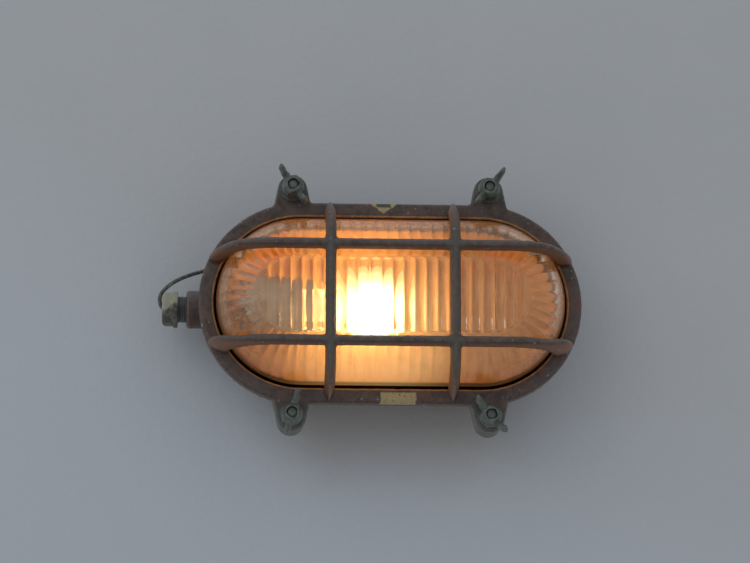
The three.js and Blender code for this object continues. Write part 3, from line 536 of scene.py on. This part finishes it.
wall_hole_x, wall_hole_radius = 0.062, 0.00325
wall_holes, hole_shape = bpy.data.meshes.new("wall_holes"), bmesh.new()
for side in (-1, 1):
    bmesh.ops.create_cone(
        hole_shape, cap_ends=True, segments=32, depth=0.014,
        radius1=wall_hole_radius, radius2=wall_hole_radius,
        matrix=Matrix.Translation((side * wall_hole_x, 0, 0)) @ Matrix.Rotation(math.pi / 2, 4, "X"))
hole_shape.to_mesh(wall_holes)
hole_shape.free()
drill = bpy.data.objects.new("wall_holes", wall_holes)
bpy.context.scene.collection.objects.link(drill)
dish_lugs = [closed_grid(lug_rows(0.0105, sx, sz, back=0.036, front=dish_depth, edge=0.0010))
             for sx, sz in corner_places.values()]
base_housing = voxel_body("dish_casting", [dish_ring, dish_floor, closed_grid(boss), *dish_lugs],
                          voxel=0.00132, smoothing=3, finish=bronze, lumps=0.00012, drill=drill)
bpy.data.objects.remove(drill)
# Inside its leaning wall and short of the flange the dish is enamelled.
base_housing.data.materials.append(cream_enamel.material)
centre = np.empty(len(base_housing.data.polygons) * 3)
base_housing.data.polygons.foreach_get("center", centre)
face_x, face_y, face_z = centre.reshape(-1, 3).T
face_radius = np.hypot(np.maximum(np.abs(face_x) - half_straight, 0), face_z)
leaning_wall = 0.0605 + 0.111 * (-face_y - 0.005)
is_inside = (face_radius < leaning_wall) & (face_y < -0.0025) & (face_y > -0.0485)
base_housing.data.polygons.foreach_set("material_index", is_inside.astype(np.int32))
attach(base_housing, "housing")
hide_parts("base_housing")

# ---- Gasket. A black rubber ring in the flange's groove, which the glass is pressed down on.
rubber = Finish("aged_rubber")
chalky = rubber.step(rubber.noise(300, 3), 0.4, 0.7)
rubber.surface(
    Base_Color=rubber.mix(chalky, (0.012, 0.011, 0.010), (0.035, 0.031, 0.028)),
    Roughness=0.85,
    Normal=rubber.bump(rubber.noise(900, 2), 0.0003),
)
finish_node("glass_gasket", rubber)
finish_node("gland_seal", rubber)

# ---- Glass dome. Pressed glass with a flat flange under the guard's rim, smooth outside and reeded inside:
# upright reeds across the front, and reeds down the skirt that fan out round both ends. Amber towards its
# neck, it is painted near black as shade under the rim and has a painted glow where the lamp is near.
rim_face, dome_neck, dome_height, skirt_run, plateau_extra = 0.064, 0.0643, 0.030, 0.0358, 0.0075
glass_wall, reed_pitch, front_reed_height, skirt_reed_height = 0.0045, 0.0085, 0.0019, 0.0008
glass_foot, flange_face, neck_inside = 0.0518, 0.0568, dome_neck - glass_wall
fan_radius = 20 * reed_pitch / math.pi


def skirt(share, set_in):
    """The dome's side at a share of the way up: radius, depth and straight part. It is a quadratic curve
    from the neck to the front's edge, moved inwards along a normal that leans over by a quarter turn."""
    radius = quadratic(share, dome_neck, dome_neck - 0.12 * skirt_run, dome_neck - skirt_run)
    height = quadratic(share, 0.06 * dome_height, 0.78 * dome_height, dome_height)
    lean = share * np.pi / 2
    return np.stack([radius - set_in * np.cos(lean), rim_face + height - set_in * np.sin(lean),
                     half_straight + plateau_extra * share], axis=-1)


def front(share, set_in):
    """The dome's front, from its edge to the middle line, as rows of radius, depth and straight part."""
    radius = (dome_neck - skirt_run) * (1 - share)
    return np.stack([radius, rim_face + dome_height - set_in + 0 * share,
                     half_straight + plateau_extra + 0 * share], axis=-1)


def reeds(points, on_front):
    """The share of its full height that a reed has at each point: a parabola across its pitch. On the front
    the pitch runs along X. On the skirt it runs along the outline, half a pitch out of step, with twenty
    reeds fanned round each half turn."""
    x, z = points[..., 0], points[..., 2]
    swing = np.arctan2(np.maximum(np.abs(x) - half_straight, 0), np.abs(z) + 1e-9)
    outline = np.minimum(np.abs(x), half_straight) + fan_radius * swing
    run = x if on_front else np.sign(x) * outline + reed_pitch / 2
    across = (run / reed_pitch) % 1 * 2 - 1
    return 1 - across ** 2


dome_steps = dict(arc_steps=190, straight_steps=190)
up, over = np.linspace(0, 1, 44), np.linspace(0, 1, 30)
smooth_outside = np.vstack([
    with_straight([(0.0702, glass_foot), (0.0702, flange_face - 0.0002), (0.0700, flange_face),
                   (dome_neck + 0.0003, flange_face), (dome_neck, flange_face + 0.0004)]),
    skirt(np.linspace(0, 1, 24), 0), front(np.linspace(0, 1, 12)[1:], 0)])
outside = obround_rows(smooth_outside, 96, 48)
inside_front = obround_rows(front(over[::-1], glass_wall), **dome_steps)
front_share = over[::-1][:, None]
inside_skirt = obround_rows(skirt(up[::-1], glass_wall), **dome_steps)
skirt_share = up[::-1][:, None]
front_fade = np.clip(front_share / 0.16, 0, 1)
nose = np.sqrt(1 - (1 - front_fade) ** 2)
inside_front[..., 1] += front_reed_height * reeds(inside_front, True) * nose
skirt_lean = skirt_share * np.pi / 2
skirt_fade = np.clip((1 - skirt_share) / 0.10, 0, 1)
from_neck = np.clip(skirt_share / 0.25, 0, 1)
skirt_nose = np.sqrt(1 - (1 - skirt_fade) ** 2) * from_neck * from_neck * (3 - 2 * from_neck)
swell = skirt_reed_height * reeds(inside_skirt, False) * skirt_nose
spread = np.stack([np.maximum(np.abs(inside_skirt[..., 0]) - half_straight - plateau_extra * skirt_share, 0)
                   * np.sign(inside_skirt[..., 0]), inside_skirt[..., 2]], axis=-1)
spread /= np.maximum(np.linalg.norm(spread, axis=-1, keepdims=True), 1e-9)
inside_skirt[..., 0] -= swell * np.cos(skirt_lean) * spread[..., 0]
inside_skirt[..., 2] -= swell * np.cos(skirt_lean) * spread[..., 1]
inside_skirt[..., 1] += swell * np.sin(skirt_lean)
neck = obround_rows(with_straight([(neck_inside, 0.0585), (neck_inside, glass_foot)]), **dome_steps)
inside = np.concatenate([inside_front, inside_skirt[1:], neck])


def bridge(loop, other):
    """Faces between two closed loops of different counts that start at the same angle."""
    count, more = len(loop), len(other)
    steps = np.arange(count + more)
    at_other = np.floor((steps + 1) * more / (count + more)).astype(int)
    at_loop = steps + 1 - at_other
    was_other, was_loop = np.concatenate([[0], at_other[:-1]]), np.concatenate([[0], at_loop[:-1]])
    moved_other = at_other > was_other
    corner = np.where(moved_other, at_other % more, at_loop % count)
    third = np.where(moved_other, other[corner % more], loop[corner % count])
    return np.stack([loop[was_loop % count], third, other[was_other % more]], axis=-1)


outside_points, outside_faces = closed_grid(outside, False)
inside_points, inside_faces = closed_grid(inside, False)
shift = len(outside_points)
foot_out = np.arange(outside.shape[1])
foot_in = shift + len(inside_points) - inside.shape[1] + np.arange(inside.shape[1])
foot_faces = bridge(foot_in, foot_out)
dome_points = np.vstack([outside_points, inside_points])
dome_faces = outside_faces.tolist() + (inside_faces + shift).tolist() + foot_faces.tolist()

glass = Finish("reeded_glass")
grime = glass.step(glass.noise(70, 5, 0.65), 0.48, 0.72)
# Painted glow: the glass's emission, warm and strongest near the lamp, stands in for lamp light scattered in
# it.
glow = glass.step(glass.distance_to(glass.place, (-0.014, -0.066, -0.034)), 0.080, 0.022)
lit = glass.mix(glow, (0.075, 0.034, 0.011), (0.42, 0.27, 0.095))
splash = glass.step(glass.noise(620, 4, 0.7), 0.57, 0.66) * glass.step(glass.x, -0.088, -0.104) \
    * glass.step(glass.z, 0.012, -0.006)
# Painted shade: where the glass lies under the rim it is painted near black and does not glow.
shade_under_rim = glass.step(-glass.y, 0.0655, 0.0640)
clear = glass.mix(grime * 0.7, (1.0, 0.93, 0.82), (0.82, 0.66, 0.46))
at_neck = glass.step(-glass.y, 0.0820, 0.0700)
clear = glass.mix(at_neck * 0.85, clear, (0.72, 0.44, 0.20))
spotted = glass.mix(splash * 0.75, clear, (0.22, 0.13, 0.08))
glass.surface(
    Base_Color=glass.mix(shade_under_rim, spotted, (0.012, 0.007, 0.005)),
    Roughness=0.11 + grime * 0.08 + at_neck * glass.step(glass.z, -0.058, -0.045) * 0.40,
    IOR=1.5,
    Transmission_Weight=1.0,
    Emission_Color=glass.mix(shade_under_rim, lit, (0, 0, 0)),
    Emission_Strength=0.45,
)
glass_dome = add_mesh("reeded_dome", dome_points, dome_faces, glass)
weld = glass_dome.modifiers.new("middle_line", "WELD")
weld.merge_threshold = 0.00002
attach(glass_dome, "guard")
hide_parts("glass_dome")

# ---- Guard. One bronze casting: a rim with a rebate for the glass, four lugs, and two long and two short
# bars whose feet run over the rim to its outer edge. The bars' crests are rounded and rubbed.
crest_height, bar_depth, bar_width = 0.0395, 0.008, 0.009


def bar_rows(outer_foot, inner_foot, shoulder, place, steps=26):
    """A bar as a section carried over the guard. At each step along it, one point lies on the outer curve
    and one on the inner curve, both quarter ellipses up to the crest and straight across it. The section
    is a superellipse between the two that narrows to a blunt ridge at the crest."""
    quarter = np.linspace(0, np.pi / 2, steps)
    inner_shoulder, inner_crest = shoulder - bar_depth / 2, crest_height - bar_depth
    outer_run = outer_foot - shoulder + shoulder * np.cos(quarter)
    outer_rise = crest_height * np.sin(quarter)
    inner_run = inner_foot - inner_shoulder + inner_shoulder * np.cos(quarter)
    inner_rise = inner_crest * np.sin(quarter)
    middle = np.linspace(1, 0, 30)[1:]
    outer_run = np.concatenate([[outer_foot], outer_run, outer_run[-1] * middle])
    inner_run = np.concatenate([[inner_foot], inner_run, inner_run[-1] * middle])
    outer_rise = np.concatenate([[-0.004], outer_rise, crest_height + 0 * middle])
    inner_rise = np.concatenate([[-0.004], inner_rise, inner_crest + 0 * middle])
    outer = np.stack([np.concatenate([outer_run, -outer_run[-2::-1]]),
                      np.concatenate([outer_rise, outer_rise[-2::-1]])], axis=-1)[:, None]
    inner = np.stack([np.concatenate([inner_run, -inner_run[-2::-1]]),
                      np.concatenate([inner_rise, inner_rise[-2::-1]])], axis=-1)[:, None]
    turn = np.linspace(0, 2 * np.pi, 32, endpoint=False)
    blunt = 2 / 2.6
    up_section = 0.5 + 0.5 * np.sign(np.sin(turn)) * np.abs(np.sin(turn)) ** blunt
    narrowing = 1.08 - 0.56 * up_section ** 1.3
    across = bar_width / 2 * np.sign(np.cos(turn)) * np.abs(np.cos(turn)) ** blunt * narrowing
    at = inner + (outer - inner) * up_section[:, None]
    run, rise, side = at[..., 0], at[..., 1], across + 0 * at[..., 0]
    points = np.stack(place(run, rise, side), axis=-1)
    ends = [np.broadcast_to(points[i].mean(axis=0), points[i].shape)[None] for i in (0, -1)]
    return np.concatenate([ends[0], points, ends[1]])


def edge_x(radius, z):
    """Where an obround's outline of that radius lies along X, at a height on its round end."""
    return half_straight + np.sqrt(radius ** 2 - z ** 2)


def cross_bar(side):
    """A long bar's place. Over the rim its foot spreads towards the middle, and its end is cut to the rim's
    own outline: the run is lengthened by how far the outline there lies beyond the one at the bar."""
    def place(run, rise, across):
        share = np.clip((np.abs(run) - foot_start) / foot_run, 0, 1)
        flare = share * share * (3 - 2 * share)
        off_line = cross_z + side * across * (1 + foot_spread * flare) - foot_shift * flare
        follow = edge_x(frame_radius, off_line) - edge_x(frame_radius, cross_z)
        return run + np.sign(run) * flare * follow, -rim_face - rise, side * off_line
    return place


def upright_bar(side):
    """A short bar's place. Over the rim its foot narrows as a root of what is left, to a rounded point."""
    def place(run, rise, across):
        left = np.clip((upright_foot - np.abs(run)) / point_run, 0.02, 1)
        return side * upright_x - across * np.sqrt(left), -rim_face - rise, run
    return place


cross_z, upright_foot, opening, cross_shoulder, upright_shoulder = 0.037, 0.0765, 0.066, 0.040, 0.032
foot_start, foot_run, foot_spread, foot_shift, point_run = 0.112, 0.024, 0.55, 0.0030, 0.010
rim = rounded([(0.0708, 0.052), (frame_radius, 0.052), (frame_radius, 0.0625), (0.0760, rim_face),
               (0.0675, rim_face), (opening, 0.0625), (opening, 0.0571), (0.0708, 0.0571)], 0.0011)
guard_parts = [closed_grid(obround_rows(with_straight(rim), 120, 60))]
cross_foot, cross_inner = edge_x(frame_radius, cross_z), edge_x(opening, cross_z)
for side in (-1, 1):
    guard_parts += [
        closed_grid(bar_rows(cross_foot, cross_inner, cross_shoulder, cross_bar(side)), False),
        closed_grid(bar_rows(upright_foot, opening, upright_shoulder, upright_bar(side)), False),
    ]
guard_parts += [closed_grid(lug_rows(0.0112, sx, sz, back=0.052, front=rim_face, edge=0.0012))
                for sx, sz in corner_places.values()]
guard = voxel_body("guard_casting", guard_parts, voxel=0.00092, smoothing=3, finish=bronze, lumps=0.00014)
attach(guard, "guard")
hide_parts("guard")

# ---- Studs. Brass screws with an M8 thread, fast in the dish's lugs; the guard's lugs slide on them.
green_brass = Finish("verdigris_brass")
green_cloud = green_brass.noise(120, 4, 0.65)
green_speck = green_brass.noise(800, 3, 0.6)
green_worn = green_brass.node("ShaderNodeAttribute", {"attribute_name": "worn"}, out="Fac")
green_rub = green_brass.step(green_worn + (green_speck - 0.5) * 0.1, 0.03, 0.12)
green_patch = green_brass.step(green_cloud, 0.40, 0.62)
green_base = green_brass.mix(green_patch, (0.050, 0.060, 0.050), (0.094, 0.115, 0.100))
green_stain = green_brass.mix(green_brass.step(green_speck, 0.6, 0.72) * 0.6, green_base, (0.10, 0.075, 0.04))
green_brass.surface(
    Base_Color=green_brass.mix(green_rub * 0.5, green_stain, (0.19, 0.20, 0.18)),
    Metallic=green_rub * 0.3,
    Roughness=0.6 + (green_cloud - 0.5) * 0.3,
    Normal=green_brass.bump(green_cloud * 0.5 + green_speck * 0.5, 0.0006, 0.8),
)


def facing_out(points, at_x=0.0, at_z=0.0):
    """Turned rows whose axis points away from the wall: distance becomes depth."""
    return np.stack([points[..., 1] + at_x, -points[..., 0], points[..., 2] + at_z], axis=-1)


def threaded(root, crest, start, end, pitch, steps=36, rows_a_turn=8, dome=0.0):
    """A screw thread as rows round an axis: the radius rises and falls as a triangle wave of the distance
    along the axis less one pitch for each turn, and fades to a plain end on both sides. The last stretch,
    as long as dome, closes in as an ellipse does."""
    distance = np.linspace(start, end, max(int((end - start) / pitch * rows_a_turn), 8))[:, None]
    angle = np.linspace(0, 2 * np.pi, steps, endpoint=False)
    phase = (distance / pitch - angle / (2 * np.pi)) % 1
    wave = 1 - np.abs(2 * phase - 1)
    fade = np.clip(np.minimum(distance - start, end - distance) / pitch, 0, 1)
    radius = root + (crest - root) * wave * fade
    if dome:
        radius = radius * np.sqrt(1.02 - np.clip((distance - end + dome) / dome, 0, 1) ** 2)
    rows = np.stack([distance + 0 * angle, radius * np.cos(angle), radius * np.sin(angle)], axis=-1)
    ends = [np.stack([np.full(steps, at), 0 * angle, 0 * angle], axis=-1)[None] for at in (start, end)]
    return np.concatenate([ends[0], rows, ends[1]])


stud_rows = threaded(root=0.0034, crest=0.0039, start=0.035, end=0.0794, pitch=0.00125, dome=0.0016)
for key, (sx, sz) in corner_places.items():
    placed = facing_out(stud_rows, sx * stud_x, sz * stud_z)
    stud = add_mesh(f"stud_{key}_thread", *closed_grid(placed, False), green_brass)
    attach(stud, "housing")
    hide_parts(f"stud_{key}")

# ---- Washers. Stamped brass rings under the wing nuts, gone the same grey-green.
washer_profile = rounded([(0.0044, 0.0643), (0.010, 0.0643), (0.010, 0.0659), (0.0044, 0.0659)], 0.0004)
for key, (sx, sz) in corner_places.items():
    placed = facing_out(turned_rows(washer_profile), sx * stud_x, sz * stud_z)
    washer = add_mesh(f"nut_washer_{key}_ring", *closed_grid(placed), green_brass)
    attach(washer, f"nut_washer_{key}")
    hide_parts(f"nut_washer_{key}")

# ---- Wing nuts. Cast brass: a tapered hub and two ears that lean out and up. Each was left at its own
# angle when it was last tightened.
nut_base = 0.0662
hub_profile = np.array([(0.0042, 0), (0.0078, 0), (0.0082, 0.0006), (0.0084, 0.0035), (0.0072, 0.0112),
                        (0.0064, 0.0130), (0.0052, 0.0140), (0.0042, 0.0142)])


def ear_rows(steps=24, around=20):
    """One ear as a rounded section carried along a quadratic curve that leaves the hub and turns up. Its
    half width and half thickness close at the tip as a superellipse does."""
    share = np.linspace(0, 1, steps)[:, None]
    start, bend, tip = np.array([0.0035, 0.0072]), np.array([0.0148, 0.0050]), np.array([0.0152, 0.0199])
    line = quadratic(share, start, bend, tip)
    along = np.gradient(line, axis=0)
    along /= np.linalg.norm(along, axis=1, keepdims=True)
    normal = np.stack([along[:, 1], -along[:, 0]], axis=-1)
    closing = (1 - share ** 7) ** 0.5
    width, thick = (0.0058 - 0.0024 * share) * closing, (0.0029 - 0.0010 * share) * closing
    turn = np.linspace(0, 2 * np.pi, around, endpoint=False)
    flat = np.sign(np.cos(turn)) * np.abs(np.cos(turn)) ** 0.75 * width
    proud = np.sin(turn) * thick
    out = line[:, :1] + normal[:, :1] * flat
    rise = line[:, 1:] + normal[:, 1:] * flat
    rows = np.stack([out, proud, rise], axis=-1)
    first = np.broadcast_to(rows[0].mean(axis=0), rows[0].shape)[None]
    return np.concatenate([first, rows])


left_at = {"tl": 125, "tr": 51, "bl": 75, "br": 130}
ear = ear_rows()
for key, (sx, sz) in corner_places.items():
    angle = math.radians(left_at[key])
    cos, sin = math.cos(angle), math.sin(angle)
    parts = [closed_grid(facing_out(turned_rows(hub_profile), sx * stud_x, sz * stud_z) - (0, nut_base, 0))]
    for end in (1, -1):
        out, proud, rise = ear[..., 0] * end, ear[..., 1] * end, ear[..., 2]
        parts.append(closed_grid(np.stack([
            sx * stud_x + out * cos - proud * sin, -nut_base - rise, sz * stud_z + out * sin + proud * cos,
        ], axis=-1), False))
    wing_nut = voxel_body(f"wing_nut_{key}_casting", parts,
                          voxel=0.0004, smoothing=3, finish=green_brass, lumps=0.0006)
    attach(wing_nut, f"wing_nut_{key}")
    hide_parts(f"wing_nut_{key}")

# ---- Cable gland. A threaded brass tube in the dish's boss, with a rubber seal and a slip washer that the
# round nut squeezes on the lead. Tube and boss are dark; nut and collar carry old grey and cream paint.
nut_start, nut_end = boss_end - 0.0063, boss_end - 0.0183
tube_in, tube_out, seat = boss_end + 0.0150, nut_end + 0.0041, nut_end + 0.0094
gland_thread = threaded(0.0094, thread_radius, tube_out, tube_in, pitch=0.0015, steps=60)[1:-1]
gland_bore = turned_rows([(0.0045, tube_in), (0.0045, seat), (0.0073, seat), (0.0073, tube_out)], 60)
gland_rows = np.concatenate([gland_thread, gland_bore]) + boss_axis
gland_body = add_mesh("gland_tube", *closed_grid(gland_rows), green_brass)
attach(gland_body, "housing")
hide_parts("gland_body")

brass = Finish("clean_brass")
tarnish = brass.step(brass.noise(220, 4, 0.6), 0.42, 0.66)
brass.surface(
    Base_Color=brass.mix(tarnish, (0.60, 0.42, 0.17), (0.26, 0.16, 0.07)),
    Metallic=0.95,
    Roughness=0.32 + tarnish * 0.25,
    Normal=brass.bump(brass.noise(1200, 2), 0.0002),
)
finish_node("gland_washer", brass)

old_paint = Finish("grey_paint")
flake = old_paint.step(old_paint.noise(230, 5, 0.65, 0.3), 0.44, 0.56)
putty_edge = old_paint.z - old_paint.x * 0.55 - 0.0885 + (old_paint.noise(160, 4) - 0.5) * 0.012
putty = old_paint.step(putty_edge, 0.0, 0.004)
under = old_paint.mix(flake, (0.052, 0.047, 0.038), (0.112, 0.102, 0.084))
old_paint.surface(
    Base_Color=old_paint.mix(putty * 0.9, under, (0.33, 0.32, 0.24)),
    Roughness=0.75,
    Normal=old_paint.bump(flake * 0.5 + old_paint.noise(420, 4) * 0.5, 0.0008, 0.8),
)
nut_profile = np.array([
    (0.0065, nut_end), (0.0078, nut_end), (0.0093, nut_end + 0.0001), (0.0108, nut_end + 0.0005),
    (0.0121, nut_end + 0.0014), (0.01265, nut_end + 0.0027), (0.0129, nut_end + 0.0042),
    (0.0129, nut_end + 0.0060), (0.0129, nut_start - 0.0036), (0.0132, nut_start - 0.0032),
    (0.0139, nut_start - 0.0031),
    (0.0140, nut_start - 0.0024), (0.0140, nut_start - 0.0006), (0.0137, nut_start), (0.0106, nut_start),
    (0.0106, nut_end + 0.0024), (0.0065, nut_end + 0.0024),
])
nut_rows = turned_rows(nut_profile, 96)
# A slot runs across its face, and its shoulder has three shallow dents.
along, across, upwards = np.moveaxis(nut_rows, -1, 0)
dents = 0.5 + 0.5 * np.sin(np.arctan2(upwards, across) * 3 + along * 900)
slot = np.clip((0.0022 - np.abs(across)) / 0.0004, 0, 1) * (along < nut_end + 0.0013)
along[:] = np.where(slot > 0, np.maximum(along, nut_end + 0.0014 * slot), along)
nut_rows[6:9, :, 1:] *= (1 - 0.012 * dents[6:9])[..., None]
gland_nut = add_mesh("gland_cap_nut", *closed_grid(nut_rows + boss_axis), old_paint)
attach(gland_nut, "gland_nut")
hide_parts("gland_nut")

# ---- Wires and terminals. Brown and blue single wires from the lead's end to two brass screws on the
# lampholder's back.
for name, colour in (("live", (0.13, 0.055, 0.028)), ("neutral", (0.035, 0.09, 0.25))):
    sleeve = Finish(f"{name}_sleeve")
    grubby = sleeve.step(sleeve.noise(600, 3), 0.4, 0.7)
    sleeve.surface(
        Base_Color=sleeve.mix(grubby, colour, tuple(c * 0.6 for c in colour)),
        Roughness=0.45,
        Normal=sleeve.bump(sleeve.noise(1500, 2), 0.0001),
    )
    finish_node(f"{name}_wire", sleeve)
    finish_node(f"terminal_screw_{name}", brass)

# ---- Lampholder. A white glazed porcelain body with a brass screw shell and a sprung contact inside, held
# by a nut to a steel bracket that two screws fix to the dish's floor.
glaze = Finish("porcelain_glaze")
craze = glaze.step(glaze.noise(60, 4), 0.5, 0.75)
glaze.surface(
    Base_Color=glaze.mix(craze, (0.42, 0.39, 0.36), (0.30, 0.26, 0.22)),
    Roughness=0.35 + craze * 0.3,
    Coat_Weight=0.3,
    Normal=glaze.bump(glaze.noise(200, 2), 0.0002),
)
lamp_axis = (0, -0.050, 0)
holder_back, holder_mouth = -0.10631, -0.06131
holder_profile = rounded([
    (0.0050, holder_back - 0.008), (0.0050, holder_back), (0.0215, holder_back),
    (0.0215, holder_mouth - 0.012), (0.0195, holder_mouth - 0.010), (0.0195, holder_mouth),
    (0.0143, holder_mouth), (0.0143, holder_mouth - 0.029), (0.0010, holder_mouth - 0.029),
    (0.0010, holder_back - 0.008)], 0.0009)
holder_rows = turned_rows(holder_profile, 72)[:, ::-1] + lamp_axis
lampholder = add_mesh("lampholder_porcelain", *closed_grid(holder_rows), glaze)
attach(lampholder, "housing")
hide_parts("lampholder_body")
steel = Finish("zinc_steel")
spangle = steel.step(steel.noise(260, 3), 0.4, 0.7)
steel.surface(
    Base_Color=steel.mix(spangle, (0.42, 0.42, 0.41), (0.30, 0.29, 0.27)),
    Metallic=0.9,
    Roughness=0.38 + spangle * 0.2,
    Normal=steel.bump(steel.noise(1000, 2), 0.0001),
)
for name in ("holder_lock_nut", "holder_bracket", "holder_screw_top", "holder_screw_bottom"):
    finish_node(name, steel)
for name in ("lampholder_shell", "lampholder_contact"):
    finish_node(name, brass)

# ---- Lamp. A round frosted glass bulb on a brass screw cap, lit: the glass glows warm, most where the
# filament is, and the cap's rolled thread is bright.
tip_back, tip_front = (0, -0.0887), (0, -0.0862)
tip_profile = rounded([tip_back, (0.0030, -0.0887), (0.0045, -0.0874), (0.0045, -0.0862), tip_front], 0.0005)
tip_rows = turned_rows(np.vstack([[tip_back], tip_profile[5:-5], [tip_front]]), 32) + lamp_axis
bulb_tip = add_mesh("bulb_tip_solder", *closed_grid(tip_rows, False), brass)
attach(bulb_tip, "bulb_contact")
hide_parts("bulb_tip")
cap_back, cap_front = -0.0859, -0.0619
cap_thread = threaded(0.0125, 0.0132, cap_back + 0.0030, cap_front, pitch=0.003629, steps=64, rows_a_turn=12)
cap_thread = cap_thread[1:-1]
cap_back_rows = turned_rows([(0.0, cap_back), (0.0045, cap_back), (0.0085, cap_back + 0.0012)], 64)
cap_inside = turned_rows([(0.0118, cap_front), (0.0118, cap_back + 0.0040), (0.0, cap_back + 0.0024)], 64)
cap_rows = np.concatenate([cap_back_rows, cap_thread, cap_inside]) + lamp_axis
bulb_cap = add_mesh("bulb_cap_thread", *closed_grid(cap_rows, False), brass)
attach(bulb_cap, "bulb")
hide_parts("bulb_cap")

ball_centre, ball_radius, neck_radius = -0.0137, 0.030, 0.0117
rise = np.linspace(0, 1, 30)
ease = rise * rise * (3 - 2 * rise)
neck_end, leave = cap_front + 0.006, ball_centre - 0.004
widening, reaching = neck_radius + (ball_radius - neck_radius) * ease, neck_end + (leave - neck_end) * rise
over_ball = np.radians(np.linspace(4, 90, 30))
bulb_profile = np.vstack([
    [(neck_radius, cap_front - 0.007)],
    np.stack([widening, reaching], axis=-1),
    np.stack([ball_radius * np.cos(over_ball), ball_centre + ball_radius * np.sin(over_ball)], axis=-1),
])
frosted = Finish("frosted_lamp_glass")
from_heart = frosted.distance_to(frosted.place, (ball_centre, -0.077, -0.013))
heat = frosted.node("ShaderNodeValToRGB", {"stops": [
    (0.0, (1.0, 0.76, 0.46)), (0.28, (0.62, 0.38, 0.18)), (0.48, (0.21, 0.115, 0.042)),
    (0.62, (0.10, 0.048, 0.014)), (0.80, (0.10, 0.048, 0.014)), (0.95, (0.80, 0.42, 0.125))]},
    {"Fac": from_heart / 0.060}, out="Color")
frosted.surface(
    Base_Color=(0.85, 0.80, 0.70),
    Roughness=0.35,
    Emission_Color=heat,
    Emission_Strength=10.5,
)
skin_thickness = 0.0008
on_ball = bulb_profile[:, 1] > leave
inner_profile = np.column_stack([
    np.maximum(bulb_profile[:, 0] - skin_thickness, 0), bulb_profile[:, 1] - skin_thickness * on_ball])
glass_skin, inner_skin = turned_rows(bulb_profile, 72), turned_rows(inner_profile[::-1], 72)
bulb_rows = np.concatenate([glass_skin, inner_skin]) + lamp_axis
bulb_glass = add_mesh("bulb_frosted_glass", *closed_grid(bulb_rows), frosted)
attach(bulb_glass, "bulb")
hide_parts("bulb_glass")
finish_node("bulb_stem", steel)
